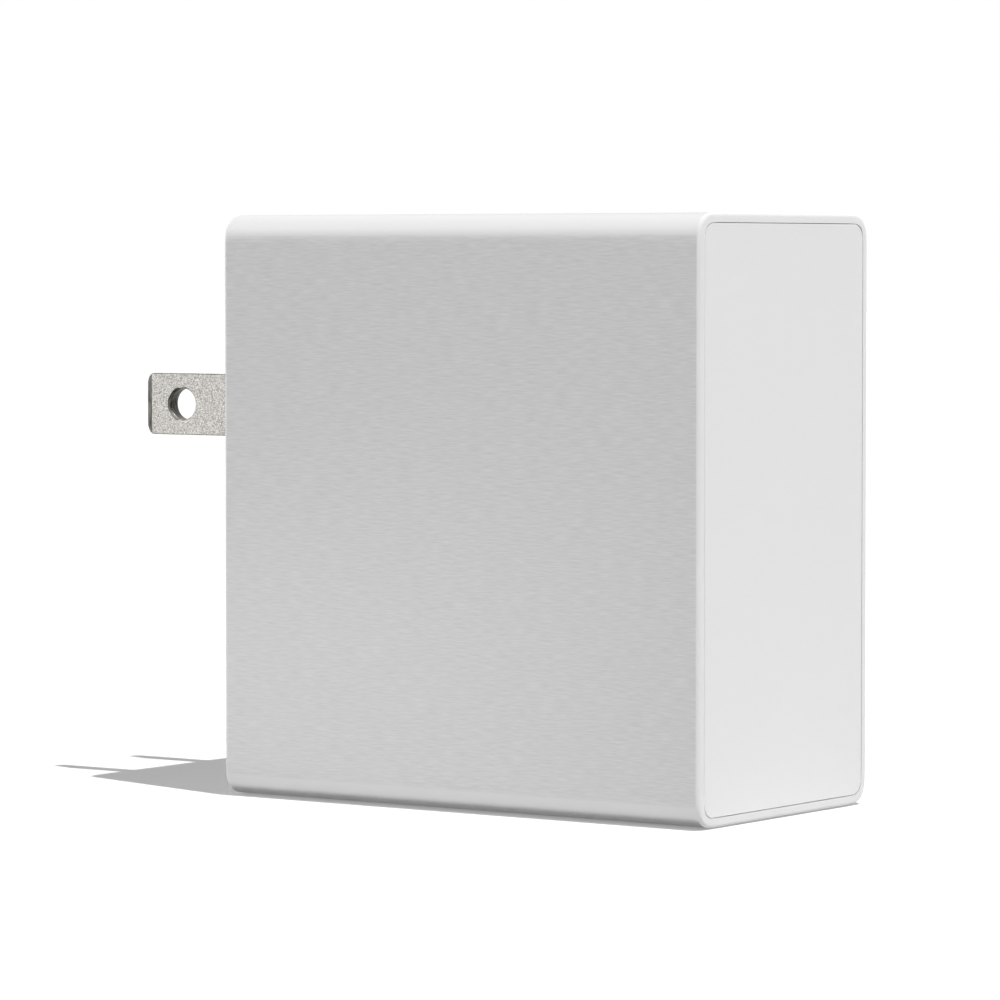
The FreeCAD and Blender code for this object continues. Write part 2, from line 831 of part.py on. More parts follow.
def make_bridge_rectifier():
    """Flat four-lead bridge rectifier with one corner cut off."""
    body = new_body("bridge_rectifier")
    half_length_here = size.bridge_length / 2
    top = size.bridge_lift + size.bridge_height
    face = new_sketch(body, "XZ_Plane", size.bridge_depth / -2)
    corners = [
        (-half_length_here, size.bridge_lift),
        (half_length_here, size.bridge_lift),
        (half_length_here, top),
        (size.bridge_chamfer - half_length_here, top),
        (-half_length_here, top - size.bridge_chamfer),
    ]
    draw_outline(face, corners)
    pad(body, face, size.bridge_depth)
    spots = [(size.bridge_pitch * step, 0) for step in (-1.5, -0.5, 0.5, 1.5)]
    add_leads(body, spots, column_place, bridge_height_place, size.lead_diameter, size.bridge_lift)
    stand_on_board(body, column_place, bridge_height_place)


def make_choke():
    """Common-mode choke: a ring core with two windings, standing in a saddle with four leads."""
    outer = size.ring_outer / 2
    inner = size.ring_inner / 2
    half_width = size.ring_width / 2
    centre = size.choke_base_height + outer - size.ring_seat

    base = new_body("choke_base")
    foot = new_sketch(base, "XY_Plane")
    draw_centred_box(foot, size.choke_base_length, size.choke_base_depth)
    pad(base, foot, size.choke_base_height)
    saddle = new_sketch(base, "XY_Plane", centre)
    draw_box(saddle, 0, -half_width, outer, half_width)
    groove(base, saddle)
    half_pitch = size.choke_pitch / 2
    half_row = size.choke_row / 2
    spots = [(half_pitch * way, half_row * row) for way in (-1, 1) for row in (-1, 1)]
    add_leads(base, spots, choke_place, choke_height_place, size.lead_diameter)
    stand_on_board(base, choke_place, choke_height_place)

    ring = new_body("choke_core")
    section = new_sketch(ring, "XY_Plane", centre)
    draw_box(section, inner, -half_width, outer, half_width)
    revolve(ring, section)
    bevel_edges(ring, size.ring_bevel, lambda box: near(box.YLength, 0))
    stand_on_board(ring, choke_place, choke_height_place)

    thick = size.coil_thickness
    for label, way in (("choke_winding_a", -1), ("choke_winding_b", 1)):
        coil = new_body(label)
        section = new_sketch(coil, "XY_Plane", centre)
        near_edge = (inner - thick) * way
        far_edge = (outer + thick) * way
        draw_box(section, near_edge, -half_width - thick, far_edge, half_width + thick)
        draw_box(section, inner * way, -half_width, outer * way, half_width)
        revolve(coil, section, size.coil_angle)
        stand_on_board(coil, choke_place, choke_height_place)


def make_transistor_group():
    """Power transistor screwed to a bent aluminium heat sink that has two feet in the board."""
    hole_height = size.transistor_lift + size.transistor_hole_height
    half_sink = size.sink_length / 2
    sink_back = size.sink_thickness / -2
    sink_front = size.sink_thickness / 2
    sink_height_place = deck + size.sink_thickness / 2

    sink = new_body("heat_sink")
    plan = new_sketch(sink, "XY_Plane")
    corners = [
        (-half_sink, sink_back),
        (half_sink, sink_back),
        (half_sink, sink_front + size.sink_flange),
        (half_sink - size.sink_thickness, sink_front + size.sink_flange),
        (half_sink - size.sink_thickness, sink_front),
        (-half_sink, sink_front),
    ]
    draw_outline(plan, corners)
    pad(sink, plan, size.sink_height)
    round_edges(sink, size.sink_thickness, lambda box: is_line_at(box, x=half_sink, y=sink_back))
    hole = new_sketch(sink, "XZ_Plane", sink_back)
    draw_circle(hole, size.screw_diameter, 0, hole_height)
    pocket(sink, hole, size.sink_thickness, along_normal=True)
    feet = new_sketch(sink, "XY_Plane")
    for way in (-1, 1):
        across = size.sink_foot_spacing * (way / 2)
        draw_centred_box(feet, size.sink_foot, size.sink_thickness, across)
        slot_place = column_place + across
        board_slots.append((slot_place, sink_height_place, size.sink_foot, size.sink_thickness))
    pad(sink, feet, lead_depth, reverse=True)
    stand_on_board(sink, column_place, sink_height_place)

    transistor = new_body("primary_transistor")
    half_depth = size.transistor_depth / 2
    foot = new_sketch(transistor, "XY_Plane", size.transistor_lift)
    draw_centred_box(foot, size.transistor_length, size.transistor_depth)
    pad(transistor, foot, size.transistor_height)
    bevel_edges(
        transistor,
        size.transistor_edge,
        lambda box: is_line_at(box, y=half_depth, z=size.transistor_lift + size.transistor_height),
    )
    hole = new_sketch(transistor, "XZ_Plane", half_depth)
    draw_circle(hole, size.transistor_hole, 0, hole_height)
    pocket(transistor, hole, size.transistor_depth)
    spots = [(size.transistor_pitch * step, 0) for step in (-1, 0, 1)]
    lift = size.transistor_lift
    add_leads(transistor, spots, column_place, transistor_height_place, size.lead_diameter, lift)
    stand_on_board(transistor, column_place, transistor_height_place)

    screw = new_body("transistor_screw")
    head = new_sketch(screw, "XZ_Plane", -half_depth - size.screw_head_height)
    draw_circle(head, size.screw_head_diameter, 0, hole_height)
    pad(screw, head, size.screw_head_height)
    shank = new_sketch(screw, "XZ_Plane", -half_depth)
    draw_circle(shank, size.screw_diameter, 0, hole_height)
    pad(screw, shank, size.transistor_depth + size.sink_thickness)
    drive = new_sketch(screw, "XZ_Plane", -half_depth - size.screw_head_height)
    draw_centred_box(drive, size.screw_head_diameter, size.screw_drive_width, 0, hole_height)
    pocket(screw, drive, size.screw_drive_depth, along_normal=True)
    stand_on_board(screw, column_place, transistor_height_place)


def make_transformer():
    """Transformer: two ferrite halves round a bobbin, its winding, a tape and six pins."""
    window_depth = core_half_height - size.core_back
    lower_window = size.core_lift + size.core_back
    parting = size.core_lift + core_half_height
    upper_window = parting + window_depth
    x = transformer_place
    z = transformer_height_place

    for label, start, face, down in (
        ("core_lower", size.core_lift, parting, True),
        ("core_upper", parting, parting, False),
    ):
        core = new_body(label)
        block = new_sketch(core, "XY_Plane", start)
        draw_centred_box(block, core_length, size.core_depth)
        pad(core, block, core_half_height)
        window = new_sketch(core, "XY_Plane", face)
        draw_circle(window, core_window)
        draw_circle(window, size.core_post)
        pocket(core, window, window_depth, along_normal=not down)
        stand_on_board(core, x, z)

    gap = size.bobbin_gap
    tube_inside = size.core_post / 2 + gap
    tube_outside = tube_inside + size.bobbin_wall
    flange_outside = core_window / 2 - gap
    spool_under = lower_window + gap
    spool_upper = upper_window - gap
    winding_under = spool_under + size.bobbin_flange
    winding_upper = spool_upper - size.bobbin_flange

    bobbin = new_body("bobbin")
    spool = new_sketch(bobbin, "XZ_Plane")
    corners = [
        (tube_inside, spool_under),
        (flange_outside, spool_under),
        (flange_outside, winding_under),
        (tube_outside, winding_under),
        (tube_outside, winding_upper),
        (flange_outside, winding_upper),
        (flange_outside, spool_upper),
        (tube_inside, spool_upper),
    ]
    draw_outline(spool, corners)
    revolve(bobbin, spool)
    rails = new_sketch(bobbin, "XY_Plane")
    half_rail = size.rail_length / 2
    draw_box(rails, -half_rail, rail_inside, half_rail, rail_outside)
    draw_box(rails, -half_rail, -rail_outside, half_rail, -rail_inside)
    pad(bobbin, rails, winding_under)
    rail_middle = (rail_inside + rail_outside) / 2
    spots = [(size.pin_pitch * step, rail_middle * way) for way in (-1, 1) for step in (-1, 0, 1)]
    sockets = new_sketch(bobbin, "XY_Plane")
    for across, up in spots:
        draw_circle(sockets, size.pin_diameter, across, up)
    pocket(bobbin, sockets, size.pin_depth, along_normal=True)
    stand_on_board(bobbin, x, z)

    winding = new_body("winding")
    tape = new_body("winding_tape")
    winding_outside = size.winding_diameter / 2
    tape_outside = winding_outside + size.tape_thickness
    for body, inside, outside in (
        (winding, tube_outside, winding_outside),
        (tape, winding_outside, tape_outside),
    ):
        section = new_sketch(body, "XZ_Plane")
        draw_box(section, inside, winding_under, outside, winding_upper)
        revolve(body, section)
        stand_on_board(body, x, z)

    pins = []
    for across, up in spots:
        pin = doc.addObject("Part::Cylinder", "pin")
        bind(pin, "Radius", size.pin_diameter / 2)
        bind(pin, "Height", size.pin_depth + lead_depth)
        place(pin, across, up, -lead_depth)
        board_holes.append((x + across, z + up, size.pin_diameter))
        pins.append(pin)
    group = doc.addObject("Part::Compound", "transformer_pins")
    group.Label = "transformer_pins"
    group.Links = pins
    sub_parts.append(group)
    stand_on_board(group, x, z)


def make_cooling():
    """Aluminium heat spreader on the case wall, and the soft pad between it and the transformer."""
    wall = wall_reach
    half_length_here = core_length / 2 + size.spreader_margin
    half_depth = rail_outside + size.spreader_margin

    spreader = new_body("heat_spreader")
    section = new_sketch(spreader, "XZ_Plane", -half_depth)
    flange_inside = size.spreader_thickness - half_length_here
    corners = [
        (-half_length_here, wall),
        (-half_length_here, spreader_under - size.spreader_flange),
        (flange_inside, spreader_under - size.spreader_flange),
        (flange_inside, spreader_under),
        (half_length_here, spreader_under),
        (half_length_here, wall),
    ]
    draw_outline(section, corners)
    pad(spreader, section, half_depth * 2)
    round_edges(spreader, size.spreader_bend, lambda box: is_line_at(box, x=-half_length_here, z=wall))
    stand_on_board(spreader, transformer_place, transformer_height_place)

    thermal_pad = new_body("thermal_pad")
    area = new_sketch(thermal_pad, "XY_Plane", core_top)
    inset = size.pad_inset * 2
    draw_centred_box(area, core_length - inset, size.core_depth - inset)
    pad(thermal_pad, area, size.pad_thickness)
    stand_on_board(thermal_pad, transformer_place, transformer_height_place)


def make_chip(label, length, width, pitch, legs, x, z):
    """Flat chip on the solder side, with bent legs along two sides and a dimple at its first leg."""
    body = new_body(label)
    seat = -size.board_thickness
    block = new_sketch(body, "XY_Plane", seat)
    draw_centred_box(block, length, width)
    pad(body, block, size.chip_height, reverse=True)
    dimple = new_sketch(body, "XY_Plane", seat - size.chip_height)
    dimple_shift = size.dimple_diameter
    draw_circle(dimple, size.dimple_diameter, dimple_shift - length / 2, dimple_shift - width / 2)
    pocket(body, dimple, size.dimple_depth, along_normal=True)

    edge = width / 2
    knee = edge + size.leg_reach / 2
    foot_end = edge + size.leg_reach
    thick = size.leg_thickness
    shoulder = seat - size.chip_height / 2
    leg = new_sketch(body, "YZ_Plane", pitch * ((1 - legs) / 2) - size.leg_width / 2)
    for way in (-1, 1):
        corners = [
            (edge * way, shoulder),
            (knee * way, shoulder),
            (knee * way, seat - thick),
            (foot_end * way, seat - thick),
            (foot_end * way, seat),
            ((knee - thick) * way, seat),
            ((knee - thick) * way, shoulder + thick),
            (edge * way, shoulder + thick),
        ]
        draw_outline(leg, corners)
    first = pad(body, leg, size.leg_width)
    row = body.newObject("PartDesign::LinearPattern", "row")
    row.Originals = [first]
    row.Direction = (leg, ["N_Axis"])
    row.Occurrences = legs
    bind(row, "Length", pitch * (legs - 1))
    body.Tip = row
    stand_on_board(body, x, z)


def make_outlet_board():
    """Small board across the main board that carries the outlet and its power manager."""
    body = new_body("outlet_board")
    half_board = size.outlet_board_length / 2
    main_face = board_face - size.board_edge_gap
    plan = new_sketch(body, "XY_Plane")
    draw_box(plan, -half_board, -size.outlet_board_depth, half_board, main_face)
    pad(body, plan, size.outlet_board_thickness)
    tabs = new_sketch(body, "XY_Plane")
    half_tab = size.tab_width / 2
    for way in (-1, 1):
        across = size.tab_spacing * (way / 2)
        draw_box(tabs, across - half_tab, main_face, across + half_tab, board_back + size.lead_tail)
        middle = outlet_board_under + size.outlet_board_thickness / 2
        board_slots.append((across, middle, size.tab_width, size.outlet_board_thickness))
    pad(body, tabs, size.outlet_board_thickness)
    legs = new_sketch(body, "XY_Plane", size.outlet_board_thickness)
    for across, up in shell_legs():
        slot_width = size.shell_leg_width + size.hole_gap * 2
        slot_depth = size.shell_wall + size.hole_gap * 2
        draw_centred_box(legs, slot_width, slot_depth, across, up)
    pocket(body, legs, size.outlet_board_thickness)
    place(body, 0, 0, outlet_board_under)


def shell_legs():
    """Places of the four legs that hold the outlet's shell in its board."""
    across = size.shell_leg_spacing / 2
    up = (size.shell_depth - size.shell_wall) / 2
    return [(across * way, up * row) for way in (-1, 1) for row in (-1, 1)]


def make_outlet():
    """USB-C receptacle: a drawn steel shell, a moulded insert with its tongue, and the terminals."""
    shell = new_body("outlet_shell")
    wall = new_sketch(shell, "XY_Plane", size.shell_recess)
    draw_stadium(wall, size.shell_width, size.shell_depth)
    mouth_width = size.shell_width - size.shell_wall * 2
    mouth_depth = size.shell_depth - size.shell_wall * 2
    draw_stadium(wall, mouth_width, mouth_depth)
    pad(shell, wall, size.shell_length)
    legs = new_sketch(shell, "XY_Plane", outlet_board_under)
    for across, up in shell_legs():
        draw_centred_box(legs, size.shell_leg_width, size.shell_wall, across, up)
    pad(shell, legs, size.outlet_board_thickness)
    place(shell)

    insert = new_body("outlet_insert")
    block = new_sketch(insert, "XY_Plane", outlet_board_under)
    draw_stadium(block, mouth_width, mouth_depth)
    pad(insert, block, size.insert_depth, reverse=True)
    tongue_root = outlet_board_under - size.insert_depth
    tongue = new_sketch(insert, "XY_Plane", tongue_root)
    draw_centred_box(tongue, size.tongue_width, size.tongue_thickness)
    pad(insert, tongue, size.tongue_length, reverse=True)
    place(insert)

    terminals = []
    last = TERMINAL_COUNT - 1
    length = size.tongue_length - size.terminal_setback
    for row in (-1, 1):
        for step in range(TERMINAL_COUNT):
            terminal = doc.addObject("Part::Box", "terminal")
            bind(terminal, "Length", size.terminal_width)
            bind(terminal, "Width", size.terminal_thickness)
            bind(terminal, "Height", length)
            across = size.terminal_pitch * (step - last / 2) - size.terminal_width / 2
            face = size.tongue_thickness * (row / 2)
            y = face if row > 0 else face - size.terminal_thickness
            place(terminal, across, y, tongue_root - length)
            terminals.append(terminal)
    group = doc.addObject("Part::Compound", "outlet_terminals")
    group.Label = "outlet_terminals"
    group.Links = terminals
    sub_parts.append(group)
    place(group)


def make_power_manager():
    """Leadless chip on the outlet board that settles the voltage with the device."""
    body = new_body("power_manager")
    block = new_sketch(body, "XY_Plane")
    draw_centred_box(block, size.manager_side, size.manager_side)
    pad(body, block, size.manager_height)
    dimple = new_sketch(body, "XY_Plane", size.manager_height)
    shift = size.dimple_diameter - size.manager_side / 2
    draw_circle(dimple, size.dimple_diameter, shift, shift)
    pocket(body, dimple, size.dimple_depth)
    place(body, 0, size.shell_depth / -2 - size.manager_side / 2, outlet_board_upper)


def make_insulation():
    """Plastic sheet on the case wall behind the board's solder side."""
    body = new_body("insulation_sheet")
    back = board_face - side
    sheet = new_sketch(body, "XY_Plane", back)
    margin = size.insulation_margin
    guide_reach = size.guide_overlap + size.guide_thickness
    draw_box(
        sheet,
        board_left + margin,
        board_bottom + guide_reach,
        board_right - margin,
        board_top - guide_reach,
    )
    pad(body, sheet, size.insulation_thickness)
    stand_on_board(body, 0, 0)


def make_main_board():
    """Glass-fibre board with a hole or slot for every lead, foot and tab noted so far."""
    body = new_body("main_board")
    plan = new_sketch(body, "XY_Plane")
    draw_box(plan, board_left, board_bottom, board_right, board_top)
    pad(body, plan, size.board_thickness, reverse=True)
    round_edges(body, size.board_corner_radius, lambda box: near(box.ZLength, size.board_thickness))
    holes = new_sketch(body, "XY_Plane")
    for x, z, diameter in board_holes:
        draw_circle(holes, diameter + size.hole_gap * 2, x, z)
    pocket(body, holes, size.board_thickness)
    slots = new_sketch(body, "XY_Plane")
    for x, z, width, height in board_slots:
        draw_centred_box(slots, width + size.hole_gap * 2, height + size.hole_gap * 2, x, z)
    pocket(body, slots, size.board_thickness)
    stand_on_board(body, 0, 0)


def check_and_export():
    """Check every object and every sub-part, then write one STEP file for each sub-part."""
    doc.recompute()
    for item in doc.Objects:
        if "Invalid" in item.State or "Error" in item.State:
            raise ValueError(f"{item.Label} failed: {item.State}")
    for item in sub_parts:
        if item.Shape.isNull() or not item.Shape.isValid():
            raise ValueError(f"{item.Label} has no valid shape")
    os.makedirs("parts", exist_ok=True)
    for item in sub_parts:
        item.Shape.exportStep(os.path.join("parts", f"{item.Label}.step"))


make_sleeve()
make_inner_case()
make_end_cap()
make_blades()
make_contacts()
for letter, x in (("a", bulk_a_place), ("b", bulk_b_place)):
    make_can(
        f"bulk_capacitor_{letter}",
        x,
        bulk_height_place,
        size.bulk_diameter,
        size.bulk_height,
        size.bulk_pitch,
    )
for letter, x in (("a", output_a_place), ("b", output_b_place)):
    make_can(
        f"output_capacitor_{letter}",
        x,
        output_height_place,
        size.output_diameter,
        size.output_height,
        size.output_pitch,
    )
make_film_capacitor()
make_fuse()
make_disc("thermistor", thermistor_place, thermistor_height_place)
make_disc("safety_capacitor", safety_place, safety_height_place)
make_bridge_rectifier()
make_choke()
make_transistor_group()
make_transformer()
make_cooling()
make_chip(
    "controller_chip",
    size.chip_length,
    size.chip_width,
    size.leg_pitch,
    CHIP_LEG_COUNT,
    middle_place,
    bridge_height_place,
)
make_chip(
    "optocoupler",
    size.coupler_length,
    size.coupler_width,
    size.coupler_leg_pitch,
    COUPLER_LEG_COUNT,
    middle_place,
    transistor_height_place,
)
make_chip(
    "rectifier_transistor",
    size.chip_length,
    size.chip_width,
    size.leg_pitch,
    CHIP_LEG_COUNT,
    transformer_place,
    transformer_height_place,
)
make_outlet_board()
make_outlet()
make_power_manager()
make_insulation()
make_main_board()
check_and_export()
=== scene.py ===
import math

import bmesh
import bpy
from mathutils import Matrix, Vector


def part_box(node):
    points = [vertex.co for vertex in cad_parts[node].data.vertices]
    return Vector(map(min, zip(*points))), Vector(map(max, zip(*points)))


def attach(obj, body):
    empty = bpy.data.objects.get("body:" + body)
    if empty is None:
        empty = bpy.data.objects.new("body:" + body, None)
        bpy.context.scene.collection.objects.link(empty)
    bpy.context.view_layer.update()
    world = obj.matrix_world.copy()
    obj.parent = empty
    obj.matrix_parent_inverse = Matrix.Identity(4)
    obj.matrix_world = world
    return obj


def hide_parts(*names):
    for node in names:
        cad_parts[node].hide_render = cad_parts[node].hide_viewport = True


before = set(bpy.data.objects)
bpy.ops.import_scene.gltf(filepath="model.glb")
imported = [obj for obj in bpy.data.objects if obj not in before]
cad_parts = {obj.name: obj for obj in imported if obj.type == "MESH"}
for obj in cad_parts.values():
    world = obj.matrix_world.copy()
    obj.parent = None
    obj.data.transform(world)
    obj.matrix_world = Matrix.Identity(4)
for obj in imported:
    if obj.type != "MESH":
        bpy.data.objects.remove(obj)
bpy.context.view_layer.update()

# Wall adapter with one USB-C outlet, put together from the outside in. The frame is in metres:
# +Z is up, the end cap faces +X and the two mains blades stand out along -X.


# Sleeve: an extruded aluminium tube, cut to length, with a slot milled through its underside. The
# flat sides are brushed lengthways, the round edges are polished into them and painted lighter as a
# painted sheen, the rims are rounded and blasted, and clear anodising keeps the metal's own grey.
# The inside takes the rims' brighter colour, which paints light into the hairline gap at the end
# cap.
MM = 0.001
SLEEVE_WALL = 0.925 * MM
SLEEVE_CORNER = 2.0 * MM
SLEEVE_RIM = 0.35 * MM
SLOT_GAP = 0.15 * MM
SLOT_STROKE = (-1 * MM, 3 * MM)
SLOT_ROUNDING = 0.4999
CORNER_STEPS = 24
EASE_STEP = 0.15 * MM
EASE_PASSES = 40
RIM_STEPS = 5
RIM_FACING = 0.1
SHARP_ANGLE = math.radians(30)
EDGE_START = math.radians(1)
EDGE_END = math.radians(9)
EDGE_FINISH_AND_SHEEN = 1.0
BRUSH_SHARE = 0.52
NOISE_LOW = 0.3
NOISE_HIGH = 0.7


def linear(code):
    """Turn an sRGB hex colour into linear red, green, blue and alpha."""
    parts = [int(code[place:place + 2], 16) / 255 for place in (1, 3, 5)]
    return [p / 12.92 if p <= 0.04045 else ((p + 0.055) / 1.055) ** 2.4 for p in parts] + [1.0]


def add_node(tree, kind, settings=None, links=None):
    """Add a node, set its properties and loose inputs, and link other nodes' outputs into it."""
    node = tree.nodes.new(kind)
    for name, value in (settings or {}).items():
        if isinstance(name, str) and hasattr(node, name):
            setattr(node, name, value)
        else:
            node.inputs[name].default_value = value
    for name, output in (links or {}).items():
        tree.links.new(output, node.inputs[name])
    return node


def new_material(name, settings):
    """Start a material with one Principled shader that holds its constant values."""
    material = bpy.data.materials.new(name)
    material.use_nodes = True
    tree = material.node_tree
    tree.nodes.clear()
    shader = add_node(tree, "ShaderNodeBsdfPrincipled", settings)
    add_node(tree, "ShaderNodeOutputMaterial", links={"Surface": shader.outputs["BSDF"]})
    return material


def shader_of(material):
    """Give a material's Principled shader."""
    return material.node_tree.nodes["Principled BSDF"]


def mottle(tree, size, detail=2.0):
    """Add noise from 0 to 1 on Object coordinates, its blotches as large as a size in metres.

    The size is one length, or three of them along X, Y and Z.
    """
    lengths = size if isinstance(size, tuple) else (size, size, size)
    place = add_node(tree, "ShaderNodeTexCoord")
    scaled = add_node(
        tree,
        "ShaderNodeMapping",
        {"Scale": [1 / length for length in lengths]},
        {"Vector": place.outputs["Object"]},
    )
    noise = add_node(
        tree,
        "ShaderNodeTexNoise",
        {"Scale": 1.0, "Detail": detail},
        {"Vector": scaled.outputs["Vector"]},
    )
    spread = add_node(
        tree,
        "ShaderNodeMapRange",
        {"From Min": NOISE_LOW, "From Max": NOISE_HIGH},
        {"Value": noise.outputs["Fac"]},
    )
    return spread.outputs["Result"]


def finish_surface(material, factor, colours, roughness, relief):
    """Drive a material's colour, roughness and relief in metres by one pattern."""
    tree = material.node_tree
    shader = shader_of(material)
    colour = add_node(
        tree,
        "ShaderNodeMix",
        {"data_type": "RGBA", 6: linear(colours[0]), 7: linear(colours[1])},
        {0: factor},
    )
    gloss = add_node(
        tree,
        "ShaderNodeMapRange",
        {"To Min": roughness[0], "To Max": roughness[1]},
        {"Value": factor},
    )
    bump = add_node(tree, "ShaderNodeBump", {"Distance": relief}, {"Height": factor})
    tree.links.new(colour.outputs[2], shader.inputs["Base Color"])
    tree.links.new(gloss.outputs["Result"], shader.inputs["Roughness"])
    tree.links.new(bump.outputs["Normal"], shader.inputs["Normal"])


def grained(name, settings, grain, colours, roughness, relief, detail=2.0):
    """Make a material whose colour, gloss and relief follow one fine grain, sized in metres."""
    material = new_material(name, settings)
    pattern = mottle(material.node_tree, grain, detail)
    finish_surface(material, pattern, colours, roughness, relief)
    return material


def facing(tree, axis):
    """Give how squarely the surface faces along an axis, either way, from 0 to 1."""
    place = add_node(tree, "ShaderNodeTexCoord")
    parts = add_node(tree, "ShaderNodeSeparateXYZ", links={"Vector": place.outputs["Normal"]})
    share = add_node(tree, "ShaderNodeMath", {"operation": "ABSOLUTE"}, {0: parts.outputs[axis]})
    return share.outputs[0]


def brushed_aluminium():
    """Brushed and anodised aluminium: fine lines along X, drawn coarser than real ones to show.

    They are 1.7 mm long and 0.12 mm high, where real ones are about 0.02 mm. The brushing belt
    runs over the flat sides only, so the round edges stay satin, and they take the lightest colour
    as a painted sheen.
    """
    material = new_material("brushed_anodised_aluminium", {"Metallic": 1.0})
    tree = material.node_tree
    lines = add_node(
        tree,
        "ShaderNodeMapRange",
        {"To Min": 0.5 - BRUSH_SHARE / 2, "To Max": 0.5 + BRUSH_SHARE / 2},
        {"Value": mottle(tree, (1.7 * MM, 0.12 * MM, 0.12 * MM), detail=1.0)},
    )
    flat = add_node(
        tree,
        "ShaderNodeMath",
        {"operation": "MAXIMUM"},
        {0: facing(tree, "Y"), 1: facing(tree, "Z")},
    )
    under_belt = add_node(
        tree,
        "ShaderNodeMapRange",
        {"From Min": math.cos(EDGE_END), "From Max": math.cos(EDGE_START)},
        {"Value": flat.outputs[0]},
    )
    # Painted sheen: the round edges take the lightest brush colour as well as the roughest gloss.
    finish = add_node(
        tree,
        "ShaderNodeMix",
        {"data_type": "FLOAT", 2: EDGE_FINISH_AND_SHEEN},
        {0: under_belt.outputs["Result"], 3: lines.outputs["Result"]},
    )
    finish_surface(
        material,
        finish.outputs[0],
        colours=("#A9A9A9", "#C0C0C0"),
        roughness=(0.40, 0.50),
        relief=0.002 * MM,
    )
    return material


def blasted_aluminium():
    """Blasted aluminium, anodised clear: matt and finely grained, brighter than the sides."""
    return grained(
        "blasted_anodised_aluminium",
        {"Metallic": 1.0},
        grain=0.15 * MM,
        colours=("#D5D5D5", "#DBDBDB"),
        roughness=(0.90, 0.96),
        relief=0.001 * MM,
    )


def new_geometry_tree(name, inputs):
    """Start a Geometry Nodes tree and give it with the outputs of its named inputs."""
    tree = bpy.data.node_groups.new(name, "GeometryNodeTree")
    for label, kind in inputs.items():
        tree.interface.new_socket(label, in_out="INPUT", socket_type=f"NodeSocket{kind}")
    tree.interface.new_socket("Geometry", in_out="OUTPUT", socket_type="NodeSocketGeometry")
    return tree, add_node(tree, "NodeGroupInput").outputs


